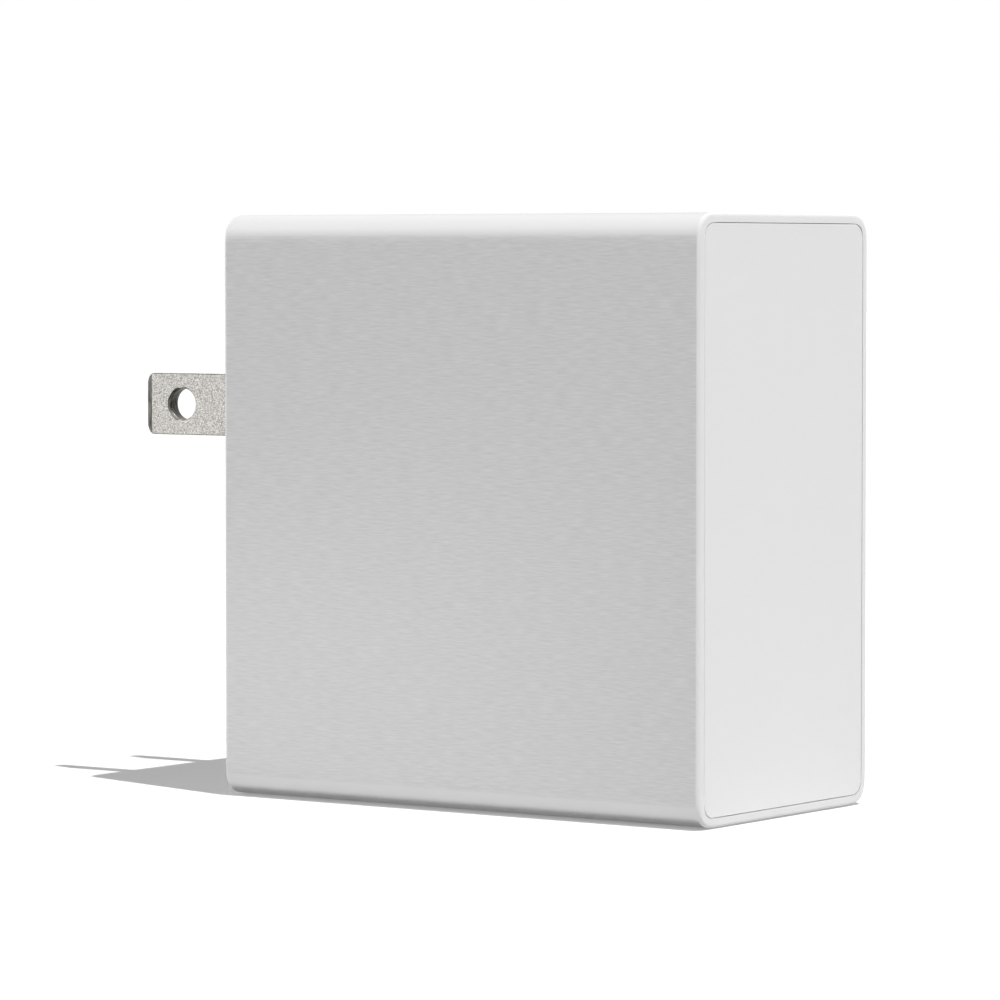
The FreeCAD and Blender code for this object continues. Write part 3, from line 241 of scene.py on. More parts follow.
def round_tube_tree():
    """Sweep the wall's long thin section round a rectangle with round corners, then mill a slot.

    The corners are evened out along the outline, so that they ease into the flat sides.
    """
    sizes = ("Length", "Thickness", "Height", "Corner Radius", "Wall", "Rim Radius")
    kinds = {label: "Float" for label in sizes + ("Slot Width", "Slot Depth")}
    kinds.update({"Side Material": "Material", "Rim Material": "Material"})
    tree, given = new_geometry_tree("round_tube", kinds)
    spot = add_node(tree, "GeometryNodeInputPosition")

    corners = add_node(
        tree,
        "GeometryNodeCurvePrimitiveQuadrilateral",
        links={"Width": given["Thickness"], "Height": given["Height"]},
    )
    outline = add_node(
        tree,
        "GeometryNodeFilletCurve",
        {"mode": "POLY", "Count": CORNER_STEPS},
        {"Curve": corners.outputs["Curve"], "Radius": given["Corner Radius"]},
    )
    steps = add_node(
        tree,
        "GeometryNodeResampleCurve",
        {"mode": "LENGTH", "Length": EASE_STEP},
        {"Curve": outline.outputs["Curve"]},
    )
    evened = add_node(
        tree,
        "GeometryNodeBlurAttribute",
        {"data_type": "FLOAT_VECTOR", "Iterations": EASE_PASSES},
        {"Value": spot.outputs["Position"]},
    )
    path = add_node(
        tree,
        "GeometryNodeSetPosition",
        links={"Geometry": steps.outputs["Curve"], "Position": evened.outputs["Value"]},
    )

    section = add_node(
        tree,
        "GeometryNodeCurvePrimitiveQuadrilateral",
        links={"Width": given["Wall"], "Height": given["Length"]},
    )
    across = add_node(tree, "ShaderNodeSeparateXYZ", links={"Vector": spot.outputs["Position"]})
    outside = add_node(
        tree, "ShaderNodeMath", {"operation": "GREATER_THAN", 1: 0.0}, {0: across.outputs["X"]}
    )
    radius = add_node(
        tree,
        "ShaderNodeMath",
        {"operation": "MULTIPLY"},
        {0: outside.outputs[0], 1: given["Rim Radius"]},
    )
    rounded = add_node(
        tree,
        "GeometryNodeFilletCurve",
        {"mode": "POLY", "Count": RIM_STEPS},
        {"Curve": section.outputs["Curve"], "Radius": radius.outputs[0]},
    )
    half_wall = add_node(
        tree, "ShaderNodeMath", {"operation": "MULTIPLY", 1: -0.5}, {0: given["Wall"]}
    )
    inwards = add_node(tree, "ShaderNodeCombineXYZ", links={"X": half_wall.outputs[0]})
    profile = add_node(
        tree,
        "GeometryNodeTransform",
        links={"Geometry": rounded.outputs["Curve"], "Translation": inwards.outputs["Vector"]},
    )
    tube = add_node(
        tree,
        "GeometryNodeCurveToMesh",
        links={"Curve": path.outputs["Geometry"], "Profile Curve": profile.outputs["Geometry"]},
    )
    half_height = add_node(
        tree, "ShaderNodeMath", {"operation": "MULTIPLY", 1: 0.5}, {0: given["Height"]}
    )
    lift = add_node(tree, "ShaderNodeCombineXYZ", links={"Z": half_height.outputs[0]})
    standing = add_node(
        tree,
        "GeometryNodeTransform",
        {"Rotation": (math.radians(90), 0, math.radians(90))},
        {"Geometry": tube.outputs["Mesh"], "Translation": lift.outputs["Vector"]},
    )

    mouth = add_node(
        tree,
        "GeometryNodeCurvePrimitiveQuadrilateral",
        links={"Width": given["Slot Width"], "Height": given["Slot Depth"]},
    )
    mouth_radius = add_node(
        tree,
        "ShaderNodeMath",
        {"operation": "MULTIPLY", 1: SLOT_ROUNDING},
        {0: given["Slot Depth"]},
    )
    mouth_outline = add_node(
        tree,
        "GeometryNodeFilletCurve",
        {"mode": "POLY", "Count": CORNER_STEPS},
        {"Curve": mouth.outputs["Curve"], "Radius": mouth_radius.outputs[0]},
    )
    stroke = add_node(
        tree,
        "GeometryNodeCurvePrimitiveLine",
        {"Start": (0, 0, SLOT_STROKE[0]), "End": (0, 0, SLOT_STROKE[1])},
    )
    cutter = add_node(
        tree,
        "GeometryNodeCurveToMesh",
        {"Fill Caps": True},
        {"Curve": stroke.outputs["Curve"], "Profile Curve": mouth_outline.outputs["Curve"]},
    )
    milled = add_node(
        tree,
        "GeometryNodeMeshBoolean",
        {"operation": "DIFFERENCE", "solver": "EXACT"},
        {"Mesh 1": standing.outputs["Geometry"], "Mesh 2": cutter.outputs["Mesh"]},
    )

    real = add_node(
        tree, "GeometryNodeRealizeInstances", links={"Geometry": milled.outputs["Mesh"]}
    )
    sides = add_node(
        tree,
        "GeometryNodeSetMaterial",
        links={"Geometry": real.outputs["Geometry"], "Material": given["Side Material"]},
    )
    outward = add_node(tree, "GeometryNodeInputNormal")
    along = add_node(tree, "ShaderNodeSeparateXYZ", links={"Vector": outward.outputs["Normal"]})
    share = add_node(tree, "ShaderNodeMath", {"operation": "ABSOLUTE"}, {0: along.outputs["X"]})
    is_rim = add_node(
        tree, "ShaderNodeMath", {"operation": "GREATER_THAN", 1: RIM_FACING}, {0: share.outputs[0]}
    )
    off_axis = add_node(
        tree,
        "ShaderNodeVectorMath",
        {"operation": "SUBTRACT"},
        {0: spot.outputs["Position"], 1: lift.outputs["Vector"]},
    )
    away = add_node(
        tree,
        "ShaderNodeVectorMath",
        {"operation": "DOT_PRODUCT"},
        {0: off_axis.outputs["Vector"], 1: outward.outputs["Normal"]},
    )
    is_inside = add_node(
        tree, "ShaderNodeMath", {"operation": "LESS_THAN", 1: 0.0}, {0: away.outputs["Value"]}
    )
    # The inside wall takes the brighter rim colour too: painted light in the hairline gap at the
    # end cap.
    is_blasted_or_gap_lit = add_node(
        tree,
        "ShaderNodeMath",
        {"operation": "MAXIMUM"},
        {0: is_rim.outputs[0], 1: is_inside.outputs[0]},
    )
    rims = add_node(
        tree,
        "GeometryNodeSetMaterial",
        links={
            "Geometry": sides.outputs["Geometry"],
            "Selection": is_blasted_or_gap_lit.outputs[0],
            "Material": given["Rim Material"],
        },
    )
    add_node(tree, "NodeGroupOutput", links={"Geometry": rims.outputs["Geometry"]})
    return tree


def new_piece(name, mesh):
    """Add an object at the origin for a mesh that is already in place."""
    piece = bpy.data.objects.new(name, mesh)
    bpy.context.scene.collection.objects.link(piece)
    return piece


def grow(name, tree, values):
    """Add an object whose shape comes from a Geometry Nodes tree with these named inputs."""
    piece = new_piece(name, bpy.data.meshes.new(name))
    modifier = piece.modifiers.new("shape", "NODES")
    modifier.node_group = tree
    for item in tree.interface.items_tree:
        if item.in_out == "INPUT":
            modifier[item.identifier] = values[item.name]
    return piece


def keep_shape(piece):
    """Turn what an object's modifiers make into its plain mesh."""
    graph = bpy.context.evaluated_depsgraph_get()
    mesh = bpy.data.meshes.new_from_object(
        piece.evaluated_get(graph), preserve_all_data_layers=True, depsgraph=graph
    )
    piece.modifiers.clear()
    piece.data = mesh


def shade_smoothly(piece):
    """Shade round faces smoothly and keep edges sharper than the limit, flat faces staying flat."""
    keep_shape(piece)
    piece.data.shade_smooth()
    piece.data.set_sharp_from_angle(angle=SHARP_ANGLE)
    even = piece.modifiers.new("even", "WEIGHTED_NORMAL")
    even.keep_sharp = True
    keep_shape(piece)


def belongs(piece, slot, *nodes):
    """Fix a piece to the adapter in place of CAD nodes. The slot is not used."""
    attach(piece, "root")
    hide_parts(*nodes)


low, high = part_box("sleeve")
shell_low, shell_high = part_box("outlet_shell")
sleeve = grow(
    "brushed_sleeve",
    round_tube_tree(),
    {
        "Length": high.x - low.x,
        "Thickness": high.y - low.y,
        "Height": high.z - low.z,
        "Corner Radius": SLEEVE_CORNER,
        "Wall": SLEEVE_WALL,
        "Rim Radius": SLEEVE_RIM,
        "Slot Width": shell_high.x - shell_low.x + SLOT_GAP * 2,
        "Slot Depth": shell_high.y - shell_low.y + SLOT_GAP * 2,
        "Side Material": brushed_aluminium(),
        "Rim Material": blasted_aluminium(),
    },
)
shade_smoothly(sleeve)
belongs(sleeve, "brushed_aluminium", "sleeve")


# Inner case: a deep tub moulded from white polycarbonate. Only its rear wall shows, set in the
# sleeve's rear end round the blades. The tool was finely blasted, so the plastic is satin.
WELD_DISTANCE = 0.001 * MM
FLAT_ANGLE = math.radians(0.2)


def white_polycarbonate(name):
    """Moulded white polycarbonate with a fine blasted texture, 0.2 mm across and barely visible."""
    return grained(
        name,
        {"IOR": 1.58},
        grain=0.2 * MM,
        colours=("#E8E8E8", "#EAEAEA"),
        roughness=(0.42, 0.50),
        relief=0.001 * MM,
    )


def merged_copy(node, name):
    """Copy a CAD node's mesh, join its loose triangles and make its flat faces whole."""
    piece = new_piece(name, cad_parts[node].data.copy())
    piece.data.materials.clear()
    shape = bmesh.new()
    shape.from_mesh(piece.data)
    bmesh.ops.remove_doubles(shape, verts=shape.verts, dist=WELD_DISTANCE)
    bmesh.ops.dissolve_limit(
        shape, angle_limit=FLAT_ANGLE, verts=shape.verts, edges=shape.edges
    )
    shape.to_mesh(piece.data)
    shape.free()
    return piece


inner_case = merged_copy("inner_case", "moulded_inner_case")
inner_case.data.materials.append(white_polycarbonate("satin_white_polycarbonate"))
shade_smoothly(inner_case)
belongs(inner_case, "white_polycarbonate", "inner_case")


# Blades: two flat mains blades stamped from brass strip, nickel plated, and moulded into the rear
# wall. The punch leaves the coined tip and the hole's wall dark and banded, and the plating is thin
# on the broken edges. Inside the hole the dark is also painted shade: the wall is near black, and
# the hole's chamfer on the side of the tip is painted dark as well.
BLADE_EDGE = 0.08 * MM
EDGE_STEPS = 2
HOLE_FROM_TIP = 4.9 * MM
HOLE_REACH = 2.0 * MM
WALL_FACING = 0.5
SIDE_LIMIT = 0.1
ROLLED_LIMIT = 0.99
TIP_FACING = -0.3
SHADED_CHAMFER_FACING = 0.2


def nickel_plating():
    """Dull nickel over brass strip: warm grey, with a fine pitted grain about 0.1 mm across."""
    return grained(
        "dull_nickel_plating",
        {"Metallic": 1.0},
        grain=0.11 * MM,
        colours=("#7C7975", "#E6E3DE"),
        roughness=(0.32, 0.46),
        relief=0.008 * MM,
        detail=3.0,
    )


def sheared_brass_and_hole_shade():
    """Sheared and coined brass under thin plating: dark, in burnished and torn bands across Y.

    In the hole its near-black tone is painted shade.
    """
    return grained(
        "sheared_brass_and_painted_hole_shade",
        {"Metallic": 1.0},
        grain=(1.2 * MM, 0.22 * MM, 1.2 * MM),
        colours=("#141312", "#8A8880"),
        roughness=(0.30, 0.55),
        relief=0.012 * MM,
        detail=3.0,
    )


def is_sheared_or_shaded(face, hole):
    """Say whether a face of the blade shows dark brass or painted shade, and not plating."""
    broad = abs(face.normal.y)
    if math.hypot(face.center.x - hole.x, face.center.z - hole.z) < HOLE_REACH:
        # Painted shade: the hole's chamfer on the side of the tip is darkened.
        shaded_chamfer = face.normal.x > SHADED_CHAMFER_FACING and broad < ROLLED_LIMIT
        return shaded_chamfer or broad < WALL_FACING
    if face.normal.x < TIP_FACING:
        return broad < ROLLED_LIMIT
    return SIDE_LIMIT < broad < ROLLED_LIMIT


plating = nickel_plating()
sheared_and_shaded = sheared_brass_and_hole_shade()
for node in ("line_blade", "neutral_blade"):
    blade = merged_copy(node, f"plated_{node}")
    blade.data.materials.append(plating)
    blade.data.materials.append(sheared_and_shaded)
    low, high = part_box(node)
    hole = Vector((low.x + HOLE_FROM_TIP, 0, (low.z + high.z) / 2))
    softened = blade.modifiers.new("softened", "BEVEL")
    softened.width = BLADE_EDGE
    softened.segments = EDGE_STEPS
    softened.loop_slide = False
    softened.limit_method = "ANGLE"
    softened.angle_limit = SHARP_ANGLE
    keep_shape(blade)
    for face in blade.data.polygons:
        face.material_index = int(is_sheared_or_shaded(face, hole))
    shade_smoothly(blade)
    belongs(blade, "nickel_plated_brass", node)


# Contacts: two strips of spring brass, stamped, bent and spot-welded to the blades' tails. The
# strip keeps the fine lines that the rolls left along it.
def dress(material, *nodes):
    """Put a material on CAD nodes in place of their plain one."""
    for node in nodes:
        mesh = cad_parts[node].data
        mesh.materials.clear()
        mesh.materials.append(material)


def spring_brass():
    """Rolled spring brass: yellow and half bright, with rolling lines 0.08 mm wide along Y."""
    return grained(
        "rolled_spring_brass",
        {"Metallic": 1.0},
        grain=(0.08 * MM, 1.5 * MM, 0.08 * MM),
        colours=("#A8863F", "#C9A75E"),
        roughness=(0.26, 0.40),
        relief=0.002 * MM,
    )


dress(spring_brass(), "line_contact", "neutral_contact")


# Boards: glass-fibre laminate, routed and drilled, with copper under green solder resist. The
# copper fields look lighter through the resist than the gaps between them, and the cut edges and
# drilled walls show the bare tan laminate.
FIELD_LENGTH = 7.0
FIELD_HEIGHT = 4.0
FIELD_GAP = 0.15
CUT_FACING = 0.5


def tint_where(material, mask, code):
    """Put another colour over a material's pattern where a mask is 1."""
    tree = material.node_tree
    shader = shader_of(material)
    colour = add_node(
        tree,
        "ShaderNodeMix",
        {"data_type": "RGBA", 7: linear(code)},
        {0: mask, 6: shader.inputs["Base Color"].links[0].from_socket},
    )
    tree.links.new(colour.outputs[2], shader.inputs["Base Color"])


def turned_from(tree, axis, limit):
    """Give 1 where the surface faces along an axis less than a limit, and 0 elsewhere."""
    turned = add_node(
        tree, "ShaderNodeMath", {"operation": "LESS_THAN", 1: limit}, {0: facing(tree, axis)}
    )
    return turned.outputs[0]


def solder_resist(name, face_axis, turn):
    """Cured green solder resist over copper fields on a board that faces along an axis.

    The fields are sized in millimetres and drawn in X and Y. The turn about X lays them on the
    board's own plane.
    """
    material = grained(
        name,
        {"IOR": 1.55},
        grain=0.4 * MM,
        colours=("#1C5A35", "#236840"),
        roughness=(0.24, 0.34),
        relief=0.003 * MM,
    )
    tree = material.node_tree
    place = add_node(tree, "ShaderNodeTexCoord")
    laid = add_node(
        tree,
        "ShaderNodeMapping",
        {"Rotation": (turn, 0, 0), "Scale": (1 / MM, 1 / MM, 1 / MM)},
        {"Vector": place.outputs["Object"]},
    )
    fields = add_node(
        tree,
        "ShaderNodeTexBrick",
        {
            "Scale": 1.0,
            "Brick Width": FIELD_LENGTH,
            "Row Height": FIELD_HEIGHT,
            "Mortar Size": FIELD_GAP,
            "Mortar Smooth": 0.0,
        },
        {"Vector": laid.outputs["Vector"]},
    )
    tint_where(material, fields.outputs["Fac"], "#10391F")
    tint_where(material, turned_from(tree, face_axis, CUT_FACING), "#B3A873")
    return material


dress(solder_resist("green_resist_on_main_board", "Y", math.radians(-90)), "main_board")
dress(solder_resist("green_resist_on_outlet_board", "Z", 0.0), "outlet_board")


# Mains input: a fuse in a moulded cap, a boxed film capacitor and a lacquered thermistor, each on
# tinned leads that go through the board, and a choke of two wire coils on a ferrite ring.
BOARD_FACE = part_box("main_board")[0].y
DISC_LIFT = 1.2 * MM
FAR_AWAY = 1.0
COIL_RISE = 1.0 * MM
COIL_TURNS = 6
COIL_ARC = math.radians(80)
RING_INSIDE = 3.5 * MM
WIRE_WIDTH = 0.66 * MM
WIRE_SIDES = 10


def past(tree, axis, limit, side="GREATER_THAN"):
    """Give 1 where a coordinate lies on the named side of a limit, and 0 elsewhere."""
    place = add_node(tree, "ShaderNodeTexCoord")
    parts = add_node(tree, "ShaderNodeSeparateXYZ", links={"Vector": place.outputs["Object"]})
    passed = add_node(
        tree, "ShaderNodeMath", {"operation": side, 1: limit}, {0: parts.outputs[axis]}
    )
    return passed.outputs[0]


def tinned_outside(material, axis, low, high):
    """Make what lies outside a span along an axis bare tinned wire."""
    tree = material.node_tree
    bare = add_node(
        tree,
        "ShaderNodeMath",
        {"operation": "MAXIMUM"},
        {0: past(tree, axis, low, side="LESS_THAN"), 1: past(tree, axis, high)},
    )
    tint_where(material, bare.outputs[0], "#C4C4C0")
    tree.links.new(bare.outputs[0], shader_of(material).inputs["Metallic"])


def on_leads(material, lift=0.0):
    """Give a component bare leads below its body, which stands a lift above the board."""
    tinned_outside(material, "Y", -FAR_AWAY, BOARD_FACE - lift + WELD_DISTANCE)
    return material


def black_epoxy(name):
    """Transfer-moulded black epoxy: charcoal, dull, with the spark-eroded tool's 0.2 mm texture."""
    return grained(
        name,
        {"IOR": 1.55},
        grain=0.2 * MM,
        colours=("#161616", "#232323"),
        roughness=(0.50, 0.64),
        relief=0.004 * MM,
    )


def dipped_lacquer(name, colours):
    """Lacquer that a ceramic disc was dipped in: glossy, with slow blotches about 1.5 mm across."""
    return grained(
        name,
        {"IOR": 1.5},
        grain=1.5 * MM,
        colours=colours,
        roughness=(0.24, 0.40),
        relief=0.02 * MM,
    )


def yellow_resin_box():
    """Moulded polyester box filled with epoxy: plain yellow, satin, with a 0.3 mm tool texture."""
    return grained(
        "moulded_yellow_polyester",
        {"IOR": 1.57},
        grain=0.3 * MM,
        colours=("#C79F25", "#D4B03A"),
        roughness=(0.38, 0.50),
        relief=0.003 * MM,
    )


def moulded_phenolic():
    """Moulded phenolic: brown-black and dull, flecked by its 0.35 mm filler."""
    return grained(
        "moulded_phenolic",
        {"IOR": 1.6},
        grain=0.35 * MM,
        colours=("#181412", "#2A231E"),
        roughness=(0.40, 0.55),
        relief=0.004 * MM,
    )


def sintered_ferrite():
    """Sintered and ground ferrite: near-black grey with a faint crystal sparkle, 0.25 mm across."""
    return grained(
        "sintered_ferrite",
        {"IOR": 2.2},
        grain=0.25 * MM,
        colours=("#29292B", "#3C3C40"),
        roughness=(0.46, 0.66),
        relief=0.006 * MM,
    )


def enamelled_wire():
    """Drawn copper wire under clear amber enamel: smooth, brown-red, slightly uneven along it."""
    return grained(
        "enamelled_copper_wire",
        {"Metallic": 1.0},
        grain=0.6 * MM,
        colours=("#8A3C1B", "#B5622F"),
        roughness=(0.20, 0.32),
        relief=0.001 * MM,
    )


def wire_coil_tree():
    """Set wire turns about a ring's section, evenly along an arc that is centred on an angle."""
    sizes = ("Section Width", "Section Height", "Ring Radius", "Wire Width")
    kinds = {label: "Float" for label in sizes + ("Turn Step", "First Turn")}
    kinds.update({"Turns": "Int", "Centre": "Vector", "Wire": "Material"})
    tree, given = new_geometry_tree("wire_coil", kinds)

    loop = add_node(
        tree,
        "GeometryNodeCurvePrimitiveQuadrilateral",
        links={"Width": given["Section Width"], "Height": given["Section Height"]},
    )
    bent = add_node(
        tree,
        "GeometryNodeFilletCurve",
        {"mode": "POLY", "Count": RIM_STEPS},
        {"Curve": loop.outputs["Curve"], "Radius": given["Wire Width"]},
    )
    half_wire = add_node(
        tree, "ShaderNodeMath", {"operation": "MULTIPLY", 1: 0.5}, {0: given["Wire Width"]}
    )
    section = add_node(
        tree,
        "GeometryNodeCurvePrimitiveCircle",
        {"Resolution": WIRE_SIDES},
        {"Radius": half_wire.outputs[0]},
    )
    turn = add_node(
        tree,
        "GeometryNodeCurveToMesh",
        links={"Curve": bent.outputs["Curve"], "Profile Curve": section.outputs["Curve"]},
    )
    outwards = add_node(tree, "ShaderNodeCombineXYZ", links={"X": given["Ring Radius"]})
    standing = add_node(
        tree,
        "GeometryNodeTransform",
        {"Rotation": (math.radians(90), 0, 0)},
        {"Geometry": turn.outputs["Mesh"], "Translation": outwards.outputs["Vector"]},
    )

    spots = add_node(
        tree, "GeometryNodePoints", links={"Count": given["Turns"], "Position": given["Centre"]}
    )
    number = add_node(tree, "GeometryNodeInputIndex")
    angle = add_node(
        tree,
        "ShaderNodeMath",
        {"operation": "MULTIPLY_ADD"},
        {0: number.outputs["Index"], 1: given["Turn Step"], 2: given["First Turn"]},
    )
    around = add_node(tree, "ShaderNodeCombineXYZ", links={"Z": angle.outputs[0]})
    turns = add_node(
        tree,
        "GeometryNodeInstanceOnPoints",
        links={
            "Points": spots.outputs["Geometry"],
            "Instance": standing.outputs["Geometry"],
            "Rotation": around.outputs["Vector"],
        },
    )
    real = add_node(
        tree, "GeometryNodeRealizeInstances", links={"Geometry": turns.outputs["Instances"]}
    )
    drawn = add_node(
        tree,
        "GeometryNodeSetMaterial",
        links={"Geometry": real.outputs["Geometry"], "Material": given["Wire"]},
    )
    add_node(tree, "NodeGroupOutput", links={"Geometry": drawn.outputs["Geometry"]})
    return tree


phenolic = moulded_phenolic()
ferrite = sintered_ferrite()
copper_wire = enamelled_wire()
green_lacquer = dipped_lacquer("dipped_green_lacquer", ("#1F4A2A", "#2C5E38"))
dress(on_leads(black_epoxy("black_epoxy_on_leads")), "fuse")
dress(on_leads(yellow_resin_box()), "film_capacitor")
dress(on_leads(green_lacquer, DISC_LIFT), "thermistor")
dress(on_leads(phenolic), "choke_base")
dress(ferrite, "choke_core")

low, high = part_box("choke_core")
ring_radius = (high.x - low.x) / 2
coil_tree = wire_coil_tree()
for letter, middle_angle in (("a", math.pi), ("b", 0.0)):
    coil = grow(
        f"wire_coil_{letter}",
        coil_tree,
        {
            "Section Width": ring_radius - RING_INSIDE + COIL_RISE,
            "Section Height": high.z - low.z + COIL_RISE,
            "Ring Radius": (ring_radius + RING_INSIDE) / 2,
            "Wire Width": WIRE_WIDTH,
            "Turn Step": COIL_ARC / COIL_TURNS,
            "First Turn": middle_angle - COIL_ARC / COIL_TURNS * (COIL_TURNS - 1) / 2,
            "Turns": COIL_TURNS,
            "Centre": (low + high) / 2,
            "Wire": copper_wire,
        },
    )
    shade_smoothly(coil)
    belongs(coil, "enamelled_copper", f"choke_winding_{letter}")


# Rectifier and reservoir: a flat bridge in black epoxy, and two capacitors whose aluminium cans
# wear a shrunk film, dark blue with a pale stripe on the negative side; the can's top stays bare.
BRIDGE_LIFT = 1.5 * MM
FILM_BORDER = 1.8 * MM
STRIPE_REACH = 0.90


def round_spot(tree, centre, radius):
    """Give 1 inside a radius about a line along Y through a centre, and 0 outside it."""
    place = add_node(tree, "ShaderNodeTexCoord")
    moved = add_node(
        tree,
        "ShaderNodeVectorMath",
        {"operation": "SUBTRACT", 1: centre},
        {0: place.outputs["Object"]},
    )
    level = add_node(
        tree,
        "ShaderNodeVectorMath",
        {"operation": "MULTIPLY", 1: (1, 0, 1)},
        {0: moved.outputs["Vector"]},
    )
    away = add_node(
        tree, "ShaderNodeVectorMath", {"operation": "LENGTH"}, {0: level.outputs["Vector"]}
    )
    inside = add_node(
        tree, "ShaderNodeMath", {"operation": "LESS_THAN", 1: radius}, {0: away.outputs["Value"]}
    )
    return inside.outputs[0]


def shrunk_film(node):
    """Shrunk film on a can: dark blue, smooth and glossy, with a pale stripe and the bare top."""
    material = grained(
        f"shrunk_film_on_{node}",
        {"IOR": 1.54},
        grain=0.8 * MM,
        colours=("#121622", "#1B2130"),
        roughness=(0.22, 0.34),
        relief=0.004 * MM,
    )
    tree = material.node_tree
    low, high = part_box(node)
    centre = (low + high) / 2
    radius = (high.x - low.x) / 2
    tint_where(material, past(tree, "X", centre.x + radius * STRIPE_REACH), "#A9ADB4")
    bare = add_node(
        tree,
        "ShaderNodeMath",
        {"operation": "MAXIMUM"},
        {0: round_spot(tree, centre, radius - FILM_BORDER), 1: past(tree, "Y", BOARD_FACE)},
    )
    tint_where(material, bare.outputs[0], "#BFC0C2")
    tree.links.new(bare.outputs[0], shader_of(material).inputs["Metallic"])
    return material


dress(on_leads(black_epoxy("black_epoxy_bridge"), BRIDGE_LIFT), "bridge_rectifier")
for node in ("bulk_capacitor_a", "bulk_capacitor_b"):
    dress(shrunk_film(node), node)


# Primary switch: a transistor screwed to a bent sheet heat sink, and its controller chip, which is
# soldered by its gull-wing legs to the far side of the board.
TRANSISTOR_LIFT = 3.5 * MM
LEG_REACH = 1.0 * MM


def rolled_aluminium():
    """Mill-finish aluminium sheet: pale grey, with soft rolling lines 0.1 mm wide along X."""
    return grained(
        "rolled_aluminium_sheet",
        {"Metallic": 1.0},
        grain=(3.0 * MM, 0.1 * MM, 0.1 * MM),
        colours=("#AEAFB1", "#C4C5C7"),
        roughness=(0.28, 0.42),
        relief=0.002 * MM,
    )


def zinc_plating():
    """Bright zinc over steel: cool grey, with a faint spangle 0.3 mm across."""
    return grained(
        "bright_zinc_plating",
        {"Metallic": 1.0},
        grain=0.3 * MM,
        colours=("#A5A9AE", "#C2C5C9"),
        roughness=(0.24, 0.38),
        relief=0.002 * MM,
    )


def chip_on_legs(node):
    """Black epoxy chip, its tinned legs standing out along Z."""
    material = black_epoxy(f"black_epoxy_on_{node}")
    low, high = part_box(node)
    tinned_outside(material, "Z", low.z + LEG_REACH, high.z - LEG_REACH)
    return material


aluminium_sheet = rolled_aluminium()
dress(aluminium_sheet, "heat_sink")
dress(on_leads(black_epoxy("black_epoxy_transistor"), TRANSISTOR_LIFT), "primary_transistor")
dress(zinc_plating(), "transistor_screw")
dress(chip_on_legs("controller_chip"), "controller_chip")


# Transformer: enamelled wire wound on a phenolic bobbin and wrapped in yellow tape, between two
# ferrite halves that are glued face to face. A blue capacitor and a small optical coupler are the
# only other links between the mains side and the outlet side.
TURN_PITCH = 0.4 * MM
WAVE_PERIOD = math.pi / 10


def wound_wire():
    """Close turns of enamelled copper wire, 0.4 mm apart along Y, drawn as round ridges.

    The grooves between the turns are darkened with painted shade.
    """
    material = new_material("wound_enamelled_copper", {"Metallic": 1.0})
    tree = material.node_tree
    place = add_node(tree, "ShaderNodeTexCoord")
    turns = add_node(
        tree,
        "ShaderNodeTexWave",
        {"bands_direction": "Y", "Scale": WAVE_PERIOD / TURN_PITCH},
        {"Vector": place.outputs["Object"]},
    )
    # Painted shade: the colour darkens where the ridges dip, in the grooves between the turns.
    finish_surface(
        material,
        turns.outputs["Fac"],
        colours=("#5E2710", "#B5622F"),
        roughness=(0.34, 0.22),
        relief=0.1 * MM,
    )
    return material


def polyester_tape():
    """Clear yellow polyester tape: glossy, its overlaps showing as soft bands along Y."""
    return grained(
        "yellow_polyester_tape",
        {"IOR": 1.64, "Coat Weight": 0.3},
        grain=(9.0 * MM, 1.2 * MM, 9.0 * MM),
        colours=("#CFA016", "#E3BA33"),
        roughness=(0.20, 0.32),
        relief=0.01 * MM,
    )


def tinned_pin():
    """Hot-tinned steel pin: soft bright grey with slow ripples 0.4 mm long."""
    return grained(
        "hot_tinned_steel",
        {"Metallic": 1.0},
        grain=0.4 * MM,
        colours=("#B7B7B3", "#CECECA"),
        roughness=(0.24, 0.38),
        relief=0.006 * MM,
    )


blue_lacquer = dipped_lacquer("dipped_blue_lacquer", ("#1D4A86", "#2A5D9E"))
dress(ferrite, "core_lower", "core_upper")
dress(phenolic, "bobbin")
dress(wound_wire(), "winding")
dress(polyester_tape(), "winding_tape")
dress(tinned_pin(), "transformer_pins")
dress(on_leads(blue_lacquer, DISC_LIFT), "safety_capacitor")
dress(chip_on_legs("optocoupler"), "optocoupler")


# Cooling: a bent aluminium spreader against the case's wall, and a soft silicone pad that fills
# the space between it and the transformer.
def silicone_pad():
    """Filled silicone sheet: dull grey-blue, speckled by its 0.3 mm filler, slightly dimpled."""
    return grained(
        "filled_silicone_sheet",
        {"IOR": 1.43},
        grain=0.3 * MM,
        colours=("#65819D", "#7F99B3"),
        roughness=(0.62, 0.78),
        relief=0.01 * MM,
    )


dress(aluminium_sheet, "heat_spreader")
dress(silicone_pad(), "thermal_pad")


# Outlet side: a rectifying transistor under the transformer and two polymer capacitors in bare
# drawn cans, their negative side marked by a painted segment on the top.
PAINT_BORDER = 1.4 * MM
PAINT_REACH = 0.35


def drawn_can(node):
    """Deep-drawn aluminium can with lengthwise drawing lines and a dark red mark on its top."""
    material = grained(
        f"drawn_aluminium_on_{node}",
        {"Metallic": 1.0},
        grain=(0.12 * MM, 2.5 * MM, 0.12 * MM),
        colours=("#B2B3B5", "#C8C9CB"),
        roughness=(0.26, 0.38),
        relief=0.002 * MM,
    )
    tree = material.node_tree
    low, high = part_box(node)
    centre = (low + high) / 2
    radius = (high.x - low.x) / 2
    marked = add_node(
        tree,
        "ShaderNodeMath",
        {"operation": "MULTIPLY"},
        {
            0: round_spot(tree, centre, radius - PAINT_BORDER),
            1: past(tree, "X", centre.x + radius * PAINT_REACH),
        },
    )
    tint_where(material, marked.outputs[0], "#7A2430")
    return material


dress(chip_on_legs("rectifier_transistor"), "rectifier_transistor")
for node in ("output_capacitor_a", "output_capacitor_b"):
    dress(drawn_can(node), node)


